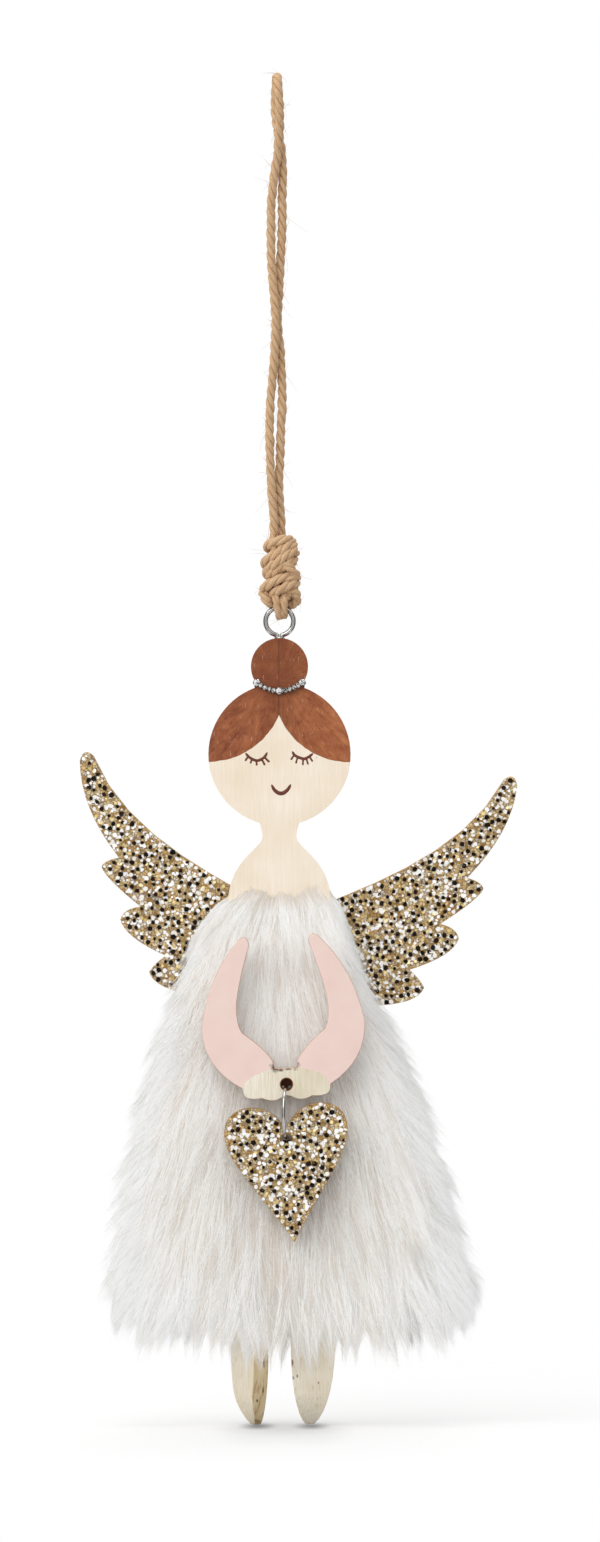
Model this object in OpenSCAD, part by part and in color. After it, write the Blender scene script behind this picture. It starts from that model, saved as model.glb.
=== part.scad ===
// Fur angel ornament: a flat plywood angel in a fur dress, with glittered wings, a glittered
// heart hung from its joined hands, two dangling legs and a loop of jute twine to hang it by.
// Millimetres, +Z up, the face looks along -Y, origin at the inside top of the hanging loop.

/* [Hanging twine] */
// Diameter of the jute twine
cord_d = 2.6; // [2.2:0.1:2.8]
// Width across the knot
knot_w = 9.4; // [8.8:0.2:11]
// Height of the knot
knot_h = 18.6; // [16:0.2:22]
// Slope of the wraps of the knot, in degrees
knot_slope = 18; // [8:1:26]
// Room between the twine and the eye's wire
bight_room = 0.4; // [0.3:0.05:0.8]

/* [Screw eye] */
// Outside diameter of the eye
eye_d = 9.2; // [8.8:0.1:12]
// Diameter of the eye's wire
eye_wire = 1.4; // [1:0.1:1.8]
// Length of the threaded shank
eye_shank = 12; // [8:0.5:15]

/* [Body board] */
// Thickness of the body board
board_t = 5; // [4:0.5:6]
// Diameter of the hair bun
bun_d = 16; // [14:0.2:20]
// Distance between the centres of the bun and the head
bun_to_head = 24.6; // [22:0.2:26]
// Width of the waist between bun and head
bun_waist_w = 14; // [10:0.2:15]
// Diameter of the head
head_d = 39.8; // [36:0.2:44]
// Width of the neck at its narrowest
neck_w = 9.5; // [8:0.1:12]
// Distance from the middle of the head to the narrowest of the neck
neck_drop = 23.2; // [22.4:0.2:27]
// Width across the shoulders, at the neckline of the dress
shoulder_w = 28.8; // [24:0.2:34]
// Distance from the narrowest of the neck down to the neckline
shoulder_drop = 16.8; // [13:0.2:20]
// Height of the board under the dress
torso_h = 106.4; // [96:0.2:110]
// Width of the bottom edge of the board
board_hem_w = 62; // [50:1:70]

/* [Rhinestone band] */
// Radius of the arc of stones round the foot of the bun
band_r = 9.8; // [9:0.1:11]
// Height of the middle of that arc above the middle of the bun
band_rise = 3; // [2:0.1:4]
// Diameter of the middle stone and of the two end stones
big_stone_d = 2; // [1.6:0.1:2.2]
// Diameter of the small stones
small_stone_d = 1.2; // [1:0.05:1.4]
// Height of a stone above its cup
stone_h = 0.9; // [0.5:0.1:1.4]
// Height of the cups
cup_h = 0.9; // [0.6:0.1:1.4]

/* [Wings] */
// Span from tip to tip
wing_span = 122.8; // [110:0.5:136]
// Height of the wing board
wing_h = 66.4; // [60:0.2:74]
// Thickness of the wing board
wing_t = 4; // [3:0.5:6]
// Sideways lean of the wing board, in degrees
wing_lean = 3.3; // [0:0.1:5]
// Distance from the middle of the head down to the notch between the wings
wing_drop = 45.7; // [44:0.1:52]
// Distance of that notch to the right of the middle
wing_shift = 3; // [0:0.1:4]
// Thickness of a layer of glued glitter
glitter_t = 0.4; // [0.3:0.05:0.8]

/* [Fur dress] */
// Height of the dress at its sides
dress_h = 118; // [110:0.5:124]
// Width of the dress at its hem
dress_hem_w = 108; // [96:0.5:120]
// Rim of fur outside the shoulders at the neckline
neckline_rim = 2.1; // [1.4:0.1:4]
// Depth of the pile on the board at the neckline
neckline_pile = 4.5; // [3:0.1:7]
// Depth of the pile on the board over most of the dress
pile = 11.1; // [10:0.1:14]
// Depth of the pile at the hem
hem_pile = 17; // [16:0.1:22]
// How far the middle of the hem hangs below its sides
hem_drop = 9; // [4:0.5:12]
// How far the hem leans to the right
hem_shift = 2.5; // [0:0.1:4]

/* [Arms board] */
// Width over both sleeves
arms_w = 45.6; // [40:0.2:52]
// Height from the bottom of the hands to the tips of the sleeves
arms_h = 45.8; // [40:0.2:50]
// Thickness of the arms board
arms_t = 4; // [3:0.5:5]
// Sideways lean of the arms board, in degrees
arms_lean = 3.2; // [0:0.1:5]
// Distance from the middle of the head down to the hole in the hands
hands_drop = 91.8; // [88:0.2:96]
// Distance of that hole to the right of the middle
hands_shift = 2; // [0:0.1:4]
// Diameter of the hole in the hands
hand_hole_d = 3.6; // [3.2:0.1:4]
// Room between the dress and the back of the arms board
arms_gap = 1.4; // [1.2:0.1:3]
// Diameter of the glue pads behind the arms
pad_d = 6.8; // [5:0.2:7.4]
// How far a glue pad sinks into the pile
pad_sink = 2; // [1.6:0.1:3]

/* [Heart] */
// Width of the heart
heart_w = 34.6; // [30:0.2:38]
// Height of the heart from the lobes to the tip
heart_h = 38.4; // [34:0.2:42]
// Thickness of the heart board
heart_t = 3; // [2.5:0.5:4]
// Sideways lean of the heart, in degrees
heart_lean = 4.5; // [0:0.1:6]
// Diameter of the hole in the heart
heart_hole_d = 3; // [2.8:0.1:3.2]
// Wood between the notch of the heart and its hole
heart_hole_rim = 1.5; // [1.2:0.1:2]
// Outside diameter of the jump ring between hands and heart
ring_d = 15.4; // [15:0.1:17]
// Diameter of the wire of the jump rings
ring_wire = 1; // [0.8:0.05:1.1]
// Room between a jump ring and its hole
ring_room = 0.45; // [0.3:0.05:0.6]

/* [Legs] */
// Width of a leg
leg_w = 12.4; // [11:0.2:14]
// Length of a leg
leg_l = 39.4; // [34:0.2:46]
// Thickness of a leg
leg_t = 5; // [4:0.5:5.5]
// Distance between the middles of the legs
leg_spread = 17.7; // [16:0.1:22]
// Distance of the pair to the right of the middle
leg_shift = 0.5; // [0:0.1:2]
// How far the left leg hangs turned away from the front, in degrees
left_leg_turn = 57; // [0:1:57]
// Diameter of the holes that the leg rings pass through
leg_hole_d = 4.8; // [4.8:0.1:5.6]
// Distance of those holes from the edge of their board
leg_hole_inset = 4.4; // [4.2:0.1:5]
// Outside diameter of a leg ring
leg_ring_d = 12; // [12:0.1:14]
// How far the ring of the right leg can turn to either side, in degrees
right_leg_play = 15; // [5:1:20]
// Room between a leg ring and the rims of its holes
leg_ring_room = 0.25; // [0.2:0.05:0.4]

/* [Hidden] */
$fn = 48;

// Room between a glued piece and the pile round it, and between parts that only seat
slip = 0.1;
seat_gap = 0.1;
// Gap between the ends of the twine and the knot, so that the knot can twist
cord_end_gap = 0.2;
// Gap between the knot and the eye's wire
knot_gap = 0.4;

// The route of the twine: up from the knot, over the loop's top and down into the knot again
cord_route = [[-1.5, -1.0, -127.2], [-1.6, -1.0, -122], [-2.2, -0.8, -114], [-2.6, -0.6, -106],
    [-2.8, -0.4, -98], [-2.5, -0.4, -89], [-1.5, -1.0, -78], [-1.1, -1.4, -67], [-1.7, -1.2, -58],
    [-2.3, -0.7, -49], [-2.4, -0.4, -40], [-2.2, -0.6, -33], [-1.4, -0.9, -26], [-0.4, -1.6, -19],
    [0.1, -3.4, -13], [0.1, -4.9, -8], [-0.2, -5.2, -4], [-0.6, -3.7, -0.2], [-0.8, 0, 1.3],
    [-1.0, 3.7, -0.2], [-1.2, 5.2, -4], [-1.2, 4.9, -8], [-0.6, 3.4, -13], [0.5, 1.6, -19],
    [0.9, 0.9, -26], [0.7, 0.6, -33], [0.8, 0.4, -40], [0.3, 0.8, -49], [-0.1, 1.2, -58],
    [-0.5, 1.4, -67], [0.4, 1.0, -78], [0.8, 0.4, -89], [0.4, 0.5, -98], [0.1, 0.8, -106],
    [-0.2, 1.2, -114], [0.4, 1.0, -122], [0.4, 1.0, -127.2]];
cord_sides = 8;
rings_per_stretch = 2;

// Heights, worked down from the foot of the loop
knot_top = cord_route[0].z - cord_end_gap;
knot_bottom = knot_top - knot_h;
knot_wraps = 4;
wrap_tube = knot_w / 5;
wrap_r = knot_w / 2 - wrap_tube;
knot_core_d = knot_w - cord_d;
knot_core_inset = 1;
bight_sink = 4;
bight_r = eye_wire / 2 + bight_room + cord_d / 2;
swing_z = knot_bottom - knot_gap - eye_wire / 2;
eye_r = (eye_d - eye_wire) / 2;
eye_z = swing_z - eye_r;
eye_shank_d = 1.8;
eye_tip_h = 2;
bun_z = eye_z - eye_d / 2 - seat_gap - bun_d / 2;
head_z = bun_z - bun_to_head;
neck_z = head_z - neck_drop;
neckline_z = neck_z - shoulder_drop;
board_bottom = neckline_z - torso_h;
neck_sink = 0.6;
board_corner = 3;

// The wing board stands behind the body board
wing_front = board_t / 2;
notch_z = head_z - wing_drop;

// The dress is a soft oval shell of pile round the boards
dress_front = board_t / 2 + pile;
neckline_w = shoulder_w + 2 * neckline_rim;
dress_rows = 14;
dress_sides = 32;
dress_squareness = 3;
fill_share = 0.25;
flare_start = 0.8;
hem_round = 3;

// The arms stand in front of the dress, with the heart in the same plane
arms_y = -(dress_front + arms_gap + arms_t / 2);
arms_back = arms_y + arms_t / 2;
hands_z = head_z - hands_drop;
pad_place = [16, 27];
ring_groove_w = 6;
ring_groove_room = 0.6;
glitter_hole_room = 0.6;
ring_r = (ring_d - ring_wire) / 2;
hand_seat = (hand_hole_d - ring_wire) / 2 - sag(ring_r, arms_t / 2) - ring_room;
ring_z = hands_z - hand_seat - ring_r;
heart_seat = (heart_hole_d - ring_wire) / 2 - sag(ring_r, heart_t / 2) - ring_room;
heart_z = ring_z - ring_r - heart_seat;

// The legs hang from rings through holes near the bottom edge of the board
// The right hole is drilled higher, because its straight ring sinks further into its holes
leg_ring_r = (leg_ring_d - ring_wire) / 2;
left_seat = leg_seat(left_leg_turn / 2);
right_seat = leg_seat(right_leg_play);
left_hole_z = board_bottom + leg_hole_inset;
right_hole_z = left_hole_z + 2 * (left_seat - right_seat);
left_ring_z = left_hole_z + left_seat - leg_ring_r;
right_ring_z = right_hole_z + right_seat - leg_ring_r;
leg_hole_z = left_ring_z + left_seat - leg_ring_r;
leg_top = leg_hole_z + leg_hole_inset;
leg_bottom = leg_top - leg_l;
left_leg_x = leg_shift - leg_spread / 2;
right_leg_x = leg_shift + leg_spread / 2;
toe_h = 22;
leg_corner = 3;

// The open space under the skirt, in which the legs swing
leg_swing_room = 7;
ring_turn_room = 2;
ring_top_room = 1.5;
skirt_space_w = leg_spread + leg_w + leg_swing_room;
skirt_space_top = right_hole_z + leg_hole_d / 2 + ring_top_room;
skirt_space_upper = leg_ring_d / 2 + ring_turn_room;
skirt_space_lower = leg_w / 2 + leg_swing_room;

// How far a ring of radius r bends away over half the thickness of a board
function sag(r, half) = r - sqrt(r * r - half * half);

// Height of a leg ring's wire above the middle of its hole, where the ring, turned this far,
// hangs just clear of the rims of the hole
function leg_seat(turn) = let (half = leg_t / 2, reach = (leg_hole_d - ring_wire / cos(turn)) / 2 - leg_ring_room)
    sag(leg_ring_r, half / cos(turn)) - sqrt(reach ^ 2 - (half * tan(turn)) ^ 2);

// Points of a curve with one or two control points, without its last point
curve_steps = 8;
function curve2(a, c, b) = [for (i = [0 : curve_steps - 1]) let (t = i / curve_steps)
    a * (1 - t) ^ 2 + c * 2 * t * (1 - t) + b * t ^ 2];
function curve3(a, c, d, b) = [for (i = [0 : curve_steps - 1]) let (t = i / curve_steps)
    a * (1 - t) ^ 3 + c * 3 * t * (1 - t) ^ 2 + d * 3 * t ^ 2 * (1 - t) + b * t ^ 3];

// A right half outline that starts and ends on the middle line, completed by its mirror image
function both_sides(half) = concat(half, [for (i = [len(half) - 2 : -1 : 1]) [-half[i].x, half[i].y]]);

// A drawn outline stretched about its zero point to a width and a height
function extent(numbers) = max(numbers) - min(numbers);
function stretched(points, w, h) = let (across = w / extent([for (p = points) p.x]), up = h / extent([for (p = points) p.y]))
    [for (p = points) [p.x * across, p.y * up]];

// A board cut from an outline drawn in X and Z, from front_y backwards
module cut_board(front_y, thick) {
    translate([0, front_y + thick, 0]) rotate([90, 0, 0]) linear_extrude(thick) children();
}

// A drilled hole along Y through a board of this thickness
module drill(x, y, z, d, thick) {
    translate([x, y, z]) rotate([90, 0, 0]) cylinder(d = d, h = thick + 2, center = true);
}

// A closed wire ring that stands in the YZ plane
module jump_ring(r) {
    rotate([0, 90, 0]) rotate_extrude() translate([r, 0]) circle(d = ring_wire);
}

// Catmull-Rom point on the twine's route
function route_point(i) = cord_route[max(0, min(len(cord_route) - 1, i))];
function along(i, t) = let (a = route_point(i - 1), b = route_point(i), c = route_point(i + 1), d = route_point(i + 2))
    b + 0.5 * t * ((c - a) + t * ((2 * a - 5 * b + 4 * c - d) + t * (3 * b - a - 3 * c + d)));
cord_points = concat([for (i = [0 : len(cord_route) - 2]) for (k = [0 : rings_per_stretch - 1])
    along(i, k / rings_per_stretch)], [cord_route[len(cord_route) - 1]]);
function unit(v) = v / norm(v);
function cord_heading(i) = i == 0 || i == len(cord_points) - 1 ? [0, 0, i == 0 ? 1 : -1]
    : unit(cord_points[i + 1] - cord_points[i - 1]);
function cord_ring(i) = let (ahead = cord_heading(i), side = unit(cross(ahead, [1, 0, 0])), up = cross(side, ahead))
    [for (k = [0 : cord_sides - 1]) let (a = 360 * k / cord_sides)
        cord_points[i] + cord_d / 2 * (cos(a) * up + sin(a) * side)];

module hanging_cord() {
    rings = len(cord_points);
    points = [for (i = [0 : rings - 1]) each cord_ring(i)];
    walls = [for (i = [0 : rings - 2]) for (k = [0 : cord_sides - 1])
        let (a = i * cord_sides + k, b = i * cord_sides + (k + 1) % cord_sides)
        each [[a, a + cord_sides, b], [b, a + cord_sides, b + cord_sides]]];
    first_end = [for (k = [0 : cord_sides - 1]) k];
    last_end = [for (k = [cord_sides - 1 : -1 : 0]) (rings - 1) * cord_sides + k];
    color("burlywood") polyhedron(points, concat(walls, [first_end, last_end]));
}

module cord_knot() {
    wrap_rise = wrap_tube + wrap_r * sin(knot_slope);
    wrap_step = (knot_h - 2 * wrap_rise) / (knot_wraps - 1);
    color("tan") union() {
        translate([0, 0, knot_bottom + knot_core_inset]) cylinder(d = knot_core_d, h = knot_h - knot_core_inset);
        for (i = [0 : knot_wraps - 1])
            translate([0, 0, knot_bottom + wrap_rise + i * wrap_step]) rotate([0, -knot_slope, 0])
                rotate_extrude() translate([wrap_r, 0]) circle(r = wrap_tube);
        for (side = [-1, 1])
            translate([0, side * bight_r, swing_z]) cylinder(d = cord_d, h = knot_bottom + bight_sink - swing_z);
        translate([0, 0, swing_z]) rotate([0, 90, 0]) rotate([0, 0, -90])
            rotate_extrude(angle = 180) translate([bight_r, 0]) circle(d = cord_d);
    }
}

module screw_eye() {
    shank_top = eye_z - eye_r;
    color("silver") union() {
        translate([0, 0, eye_z]) rotate([90, 0, 0]) rotate_extrude() translate([eye_r, 0]) circle(d = eye_wire);
        translate([0, 0, shank_top - eye_shank]) cylinder(d = eye_shank_d, h = eye_shank);
        translate([0, 0, shank_top - eye_shank - eye_tip_h])
            cylinder(d1 = 0.4, d2 = eye_shank_d, h = eye_tip_h);
    }
}

// Neck, shoulders and torso, without the head, from the bottom edge up into the head
function torso_half() = let (join_w = neck_w * 0.62, join_z = head_z - sqrt(head_d ^ 2 / 4 - join_w ^ 2) + neck_sink)
    concat([[0, board_bottom], [board_hem_w / 2 - board_corner, board_bottom], [board_hem_w / 2, board_bottom + board_corner]],
        curve3([shoulder_w / 2, neckline_z], [shoulder_w * 0.47, neck_z - shoulder_drop * 0.36],
            [neck_w / 2, neck_z - shoulder_drop * 0.18], [neck_w / 2, neck_z]),
        curve2([neck_w / 2, neck_z], [neck_w / 2, (join_z + neck_z) / 2], [join_w, join_z]),
        [[join_w, join_z], [0, head_z - head_d / 4]]);

module body_outline() {
    translate([0, bun_z]) circle(d = bun_d, $fn = 96);
    translate([0, head_z]) circle(d = head_d, $fn = 128);
    translate([-bun_waist_w / 2, head_z]) square([bun_waist_w, bun_to_head]);
    polygon(both_sides(torso_half()));
}

module body_board() {
    color("wheat") difference() {
        cut_board(-board_t / 2, board_t) body_outline();
        translate([0, 0, eye_z - eye_r - eye_shank - eye_tip_h - slip])
            cylinder(d = eye_shank_d + slip, h = eye_shank + eye_tip_h + eye_r);
        drill(left_leg_x, 0, left_hole_z, leg_hole_d, board_t);
        drill(right_leg_x, 0, right_hole_z, leg_hole_d, board_t);
    }
}

// The stones of the band: angle round the arc, and diameter
band_half = 40;
small_step = 7;
small_start = 10;
band_stones = concat([for (a = [-band_half, 0, band_half]) [a, big_stone_d]],
    [for (side = [-1, 1]) for (i = [0 : 3]) [side * (small_start + i * small_step), small_stone_d]]);
band_z = bun_z + band_rise;

module at_stone(angle, depth) {
    translate([band_r * sin(angle), -board_t / 2 - depth, band_z - band_r * cos(angle)]) rotate([90, 0, 0]) children();
}

module stone_cups() {
    strip_w = small_stone_d * 0.7;
    color("dimgray") union() {
        translate([0, -board_t / 2, band_z]) rotate([90, 0, 0]) rotate([0, 0, -90 - band_half])
            rotate_extrude(angle = 2 * band_half) translate([band_r - strip_w / 2, 0])
                square([strip_w, cup_h / 2]);
        for (stone = band_stones) at_stone(stone[0], 0) cylinder(d = stone[1], h = cup_h);
    }
}

module rhinestones() {
    color("white") for (stone = band_stones)
        at_stone(stone[0], cup_h) cylinder(d1 = stone[1] * 0.94, d2 = stone[1] * 0.5, h = stone_h);
}

// Right half of the wing board, from its notch over the tip and down the four feathers
wing_half = concat(
    curve3([0, 0], [18, 8.8], [47, 19.3], [57.6, 42.1]),
    curve2([57.6, 42.1], [60.6, 44.7], [61.4, 40.5]), curve2([61.4, 40.5], [60.6, 27.4], [48.9, 14]),
    curve2([48.9, 14], [53.2, 13], [53.6, 11.2]), curve2([53.6, 11.2], [52.6, 8.2], [42, 0.6]),
    curve2([42, 0.6], [46.8, -0.1], [47.5, -3.2]), curve2([47.5, -3.2], [46.2, -8.2], [34.2, -12.7]),
    curve2([34.2, -12.7], [37.4, -15.2], [38.6, -17.5]), curve2([38.6, -17.5], [37, -22.4], [24, -23.4]),
    [[24, -23.4], [0, -23.4]]);

module wing_outline() {
    translate([wing_shift, notch_z]) rotate(-wing_lean)
        polygon(stretched(both_sides(wing_half), wing_span, wing_h));
}

module wing_panel() {
    color("peru") cut_board(wing_front, wing_t) wing_outline();
}

// Glitter is glued to the front of a wing, up to the edge of the body board
module wing_glitter(side) {
    color("darkkhaki") cut_board(wing_front - glitter_t, glitter_t) difference() {
        intersection() {
            wing_outline();
            translate([side * wing_span / 2, notch_z]) square([wing_span, 2 * wing_h], center = true);
        }
        offset(delta = slip) body_outline();
    }
}

// Half width and half depth of the dress at share t of its height
function dress_half_w(t) = neckline_w / 2 + (dress_hem_w - neckline_w) / 2 * t ^ 0.6;
function dress_half_d(t) = board_t / 2 + neckline_pile
    + (pile - neckline_pile) * (1 - (1 - min(1, t / fill_share)) ^ 2)
    + (hem_pile - pile) * max(0, (t - flare_start) / (1 - flare_start)) ^ 1.5;
function power(v, p) = sign(v) * abs(v) ^ p;
function dress_point(t, k, inset, drop) = let (a = 360 * k / dress_sides, p = 2 / dress_squareness)
    let (x = power(cos(a), p) * inset, y = power(sin(a), p) * inset)
    [hem_shift * t + x * dress_half_w(t), y * dress_half_d(t),
        neckline_z - dress_h * t - hem_drop * t ^ 3 * (1 - x * x) - drop];

module dress_shell() {
    rows = concat([for (i = [0 : dress_rows]) [i / dress_rows, 1, 0]], [[1, 0.93, hem_round], [1, 0.8, hem_round]]);
    last = len(rows) - 1;
    points = concat([for (row = rows) for (k = [0 : dress_sides - 1]) dress_point(row[0], k, row[1], row[2])],
        [[0, 0, neckline_z], [hem_shift, 0, neckline_z - dress_h - hem_drop - hem_round]]);
    top = len(rows) * dress_sides;
    walls = [for (i = [0 : last - 1]) for (k = [0 : dress_sides - 1])
        let (a = i * dress_sides + k, b = i * dress_sides + (k + 1) % dress_sides)
        each [[a, b, a + dress_sides], [b, b + dress_sides, a + dress_sides]]];
    caps = [for (k = [0 : dress_sides - 1]) let (n = (k + 1) % dress_sides)
        each [[top, n, k], [top + 1, last * dress_sides + k, last * dress_sides + n]]];
    polyhedron(points, concat(walls, caps));
}

// The open space under the skirt, wider from front to back towards the hem
module skirt_space() {
    under_hem = neckline_z - dress_h - hem_drop - hem_round - 1;
    half = [[0, skirt_space_top], [skirt_space_upper, skirt_space_top], [skirt_space_upper, left_ring_z],
        [skirt_space_lower, left_ring_z - leg_ring_d], [skirt_space_lower, under_hem], [0, under_hem]];
    translate([leg_shift - skirt_space_w / 2, 0, 0]) rotate([90, 0, 90]) linear_extrude(skirt_space_w)
        polygon(both_sides(half));
}

module fur_dress() {
    color("whitesmoke") difference() {
        dress_shell();
        cut_board(-board_t / 2 - slip, board_t + 2 * slip) offset(delta = slip) body_outline();
        cut_board(wing_front - glitter_t - slip, wing_t + glitter_t + 2 * slip) offset(delta = slip) wing_outline();
        for (side = [-1, 1]) at_pad(side) cylinder(d = pad_d + 2 * slip, h = dress_front);
        translate([hands_shift, arms_y, ring_z]) rotate([0, 90, 0])
            cylinder(r = ring_r + ring_wire / 2 + ring_groove_room, h = ring_groove_w, center = true);
        skirt_space();
    }
}

// A place on the floor of a pad's pocket in the dress, facing the arms
module at_pad(side) {
    translate([hands_shift, -(dress_front - pad_sink), hands_z]) rotate([0, -arms_lean, 0])
        translate([side * pad_place.x, 0, pad_place.y]) rotate([90, 0, 0]) children();
}

module glue_pad(side) {
    color("ivory") at_pad(side) cylinder(d = pad_d, h = arms_gap + pad_sink);
}

// Right half of the arms board, from the middle of the hands round the sleeve and back
arms_half = concat([[0, 4.5]], [[3, 4.6]],
    curve2([3.2, 5.6], [3.6, 8.6], [11.6, 15]), curve2([11.6, 15], [12.8, 17], [12.75, 21.5]),
    curve2([12.75, 21.5], [12.6, 26.5], [8.3, 39.2]), curve2([8.3, 39.2], [8.6, 42.6], [11, 40.9]),
    curve2([11, 40.9], [20.3, 31.5], [22.8, 16.5]), curve2([22.8, 16.5], [22.6, 5.4], [12.2, -0.6]),
    curve2([12.2, -0.6], [12.4, -2.6], [11, -3.3]), curve2([11, -3.3], [9, -3.9], [7, -3.5]),
    curve2([7, -3.5], [5.6, -4.3], [4, -4.35]), curve2([4, -4.35], [2.2, -4.3], [0.9, -3.1]), [[0, -3.05]]);

module arms_outline() {
    translate([hands_shift, hands_z]) rotate(arms_lean)
        polygon(stretched(both_sides(arms_half), arms_w, arms_h));
}

module arms_board() {
    color("mistyrose") difference() {
        cut_board(arms_y - arms_t / 2, arms_t) arms_outline();
        drill(hands_shift, arms_y, hands_z, hand_hole_d, arms_t);
    }
}

module heart_ring() {
    color("silver") translate([hands_shift, arms_y, ring_z]) jump_ring(ring_r);
}

// Right half of the heart, from its notch over the lobe to the tip
heart_half = concat(curve3([0, 0], [2.2, 4.4], [5.8, 6.6], [9.6, 6.6]),
    curve3([9.6, 6.6], [14.2, 6.6], [17.3, 3.6], [17.3, -0.8]),
    curve3([17.3, -0.8], [17.3, -8.5], [6, -20.5], [0, -31.8]), [[0, -31.8]]);

module heart_outline() {
    translate([hands_shift, heart_z]) rotate(heart_lean)
        translate([0, heart_hole_rim + heart_hole_d / 2])
            polygon(stretched(both_sides(heart_half), heart_w, heart_h));
}

module heart_board() {
    color("peru") difference() {
        cut_board(arms_y - heart_t / 2, heart_t) heart_outline();
        drill(hands_shift, arms_y, heart_z, heart_hole_d, heart_t);
    }
}

module heart_glitter() {
    color("darkkhaki") difference() {
        cut_board(arms_y - heart_t / 2 - glitter_t, glitter_t) heart_outline();
        drill(hands_shift, arms_y - heart_t / 2, heart_z, heart_hole_d + glitter_hole_room, glitter_t);
    }
}

// A leg with a pointed toe that leans to the inner side: -1 for the left leg, 1 for the right
module leg(x, turn, side) {
    half = leg_w / 2;
    toe = [-0.15 * half, 0];
    outer = curve3([half, toe_h], [0.97 * half, 0.45 * toe_h], [0.42 * half, 0.03 * toe_h], toe);
    inner = curve3([-half, toe_h], [-0.95 * half, 0.36 * toe_h], [-0.58 * half, 0.01 * toe_h], toe);
    top = [[-half, leg_l - leg_corner], [leg_corner - half, leg_l], [half - leg_corner, leg_l], [half, leg_l - leg_corner]];
    outline = concat(top, outer, [for (i = [curve_steps - 1 : -1 : 0]) inner[i]]);
    translate([x, 0, 0]) rotate([0, 0, turn]) difference() {
        cut_board(-leg_t / 2, leg_t) translate([0, leg_bottom]) scale([side, 1]) polygon(outline);
        drill(0, 0, leg_hole_z, leg_hole_d, leg_t);
    }
}

module leg_ring(x, z, turn) {
    color("silver") translate([x, 0, z]) rotate([0, 0, turn / 2]) jump_ring(leg_ring_r);
}

module left_leg() { color("wheat") leg(left_leg_x, -left_leg_turn, -1); }
module right_leg() { color("wheat") leg(right_leg_x, 0, 1); }

hanging_cord();
cord_knot();
screw_eye();
body_board();
stone_cups();
rhinestones();
wing_panel();
wing_glitter(-1);  // left_wing_glitter
wing_glitter(1);  // right_wing_glitter
fur_dress();
glue_pad(-1);  // left_glue_pad
glue_pad(1);  // right_glue_pad
arms_board();
heart_ring();
heart_board();
heart_glitter();
leg_ring(left_leg_x, left_ring_z, -left_leg_turn);  // left_leg_ring
left_leg();
leg_ring(right_leg_x, right_ring_z, 0);  // right_leg_ring
right_leg();
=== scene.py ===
import math

import bmesh
import bpy
import numpy as np
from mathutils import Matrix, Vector
from mathutils.bvhtree import BVHTree


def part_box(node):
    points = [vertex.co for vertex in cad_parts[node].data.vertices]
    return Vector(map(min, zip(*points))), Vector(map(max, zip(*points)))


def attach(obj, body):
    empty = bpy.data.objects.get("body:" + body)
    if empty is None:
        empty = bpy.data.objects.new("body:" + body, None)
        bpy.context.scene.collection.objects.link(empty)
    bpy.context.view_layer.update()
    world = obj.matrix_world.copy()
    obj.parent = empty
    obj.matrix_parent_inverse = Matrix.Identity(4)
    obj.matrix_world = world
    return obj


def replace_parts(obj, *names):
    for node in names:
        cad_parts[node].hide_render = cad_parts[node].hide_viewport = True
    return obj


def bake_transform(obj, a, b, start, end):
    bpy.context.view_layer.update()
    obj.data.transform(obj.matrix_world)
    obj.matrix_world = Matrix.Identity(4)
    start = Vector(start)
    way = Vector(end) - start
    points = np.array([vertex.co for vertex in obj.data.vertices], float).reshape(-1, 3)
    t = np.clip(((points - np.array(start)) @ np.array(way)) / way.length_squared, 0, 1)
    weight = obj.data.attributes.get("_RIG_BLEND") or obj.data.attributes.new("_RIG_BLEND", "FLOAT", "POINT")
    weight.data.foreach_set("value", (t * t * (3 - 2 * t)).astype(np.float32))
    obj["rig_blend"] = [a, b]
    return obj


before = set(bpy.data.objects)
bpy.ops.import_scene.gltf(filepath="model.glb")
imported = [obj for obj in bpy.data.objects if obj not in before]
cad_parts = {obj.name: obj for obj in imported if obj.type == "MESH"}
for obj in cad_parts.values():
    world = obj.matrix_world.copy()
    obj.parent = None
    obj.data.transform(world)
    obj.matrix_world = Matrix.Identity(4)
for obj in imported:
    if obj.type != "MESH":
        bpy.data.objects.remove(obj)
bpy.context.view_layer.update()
mm = 0.001
scene = bpy.context.scene
scene.view_settings.view_transform = "Standard"


def toLinear(hexColour):
    channels = [int(hexColour[i:i + 2], 16) / 255 for i in (1, 3, 5)]
    return [c / 12.92 if c <= 0.04045 else ((c + 0.055) / 1.055) ** 2.4 for c in channels] + [1.0]


def setInputs(node, links):
    # an input takes a socket, another node's result, an sRGB hex colour or a plain value
    for name, value in links.items():
        if isinstance(value, bpy.types.Node):
            value = next(result for result in value.outputs if result.enabled)
        if isinstance(value, bpy.types.NodeSocket):
            node.id_data.links.new(value, node.inputs[name])
        else:
            node.inputs[name].default_value = toLinear(value) if isinstance(value, str) else value


def addNode(tree, kind, links=None, **settings):
    node = tree.nodes.new(kind)
    for key, value in settings.items():
        setattr(node, key, value)
    setInputs(node, links or {})
    return node


def newMaterial(name, **sockets):
    material = bpy.data.materials.new(name)
    material.use_nodes = True
    shader = material.node_tree.nodes["Principled BSDF"]
    setInputs(shader, {key.replace("_", " "): value for key, value in sockets.items()})
    return material, material.node_tree, shader


def mottled(name, grit, detail, one, two, **sockets):
    # a finish in two tones, in patches of so many millimetres
    material, tree, shader = newMaterial(name, **sockets)
    place = addNode(tree, "ShaderNodeTexCoord").outputs["Object"]
    patches = addNode(tree, "ShaderNodeTexNoise", {"Vector": place, "Scale": 1 / (grit * mm), "Detail": detail})
    tone = addNode(tree, "ShaderNodeMix", {0: patches, 6: one, 7: two}, data_type="RGBA")
    setInputs(shader, {"Base Color": tone})
    return material, tree, shader, patches


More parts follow.
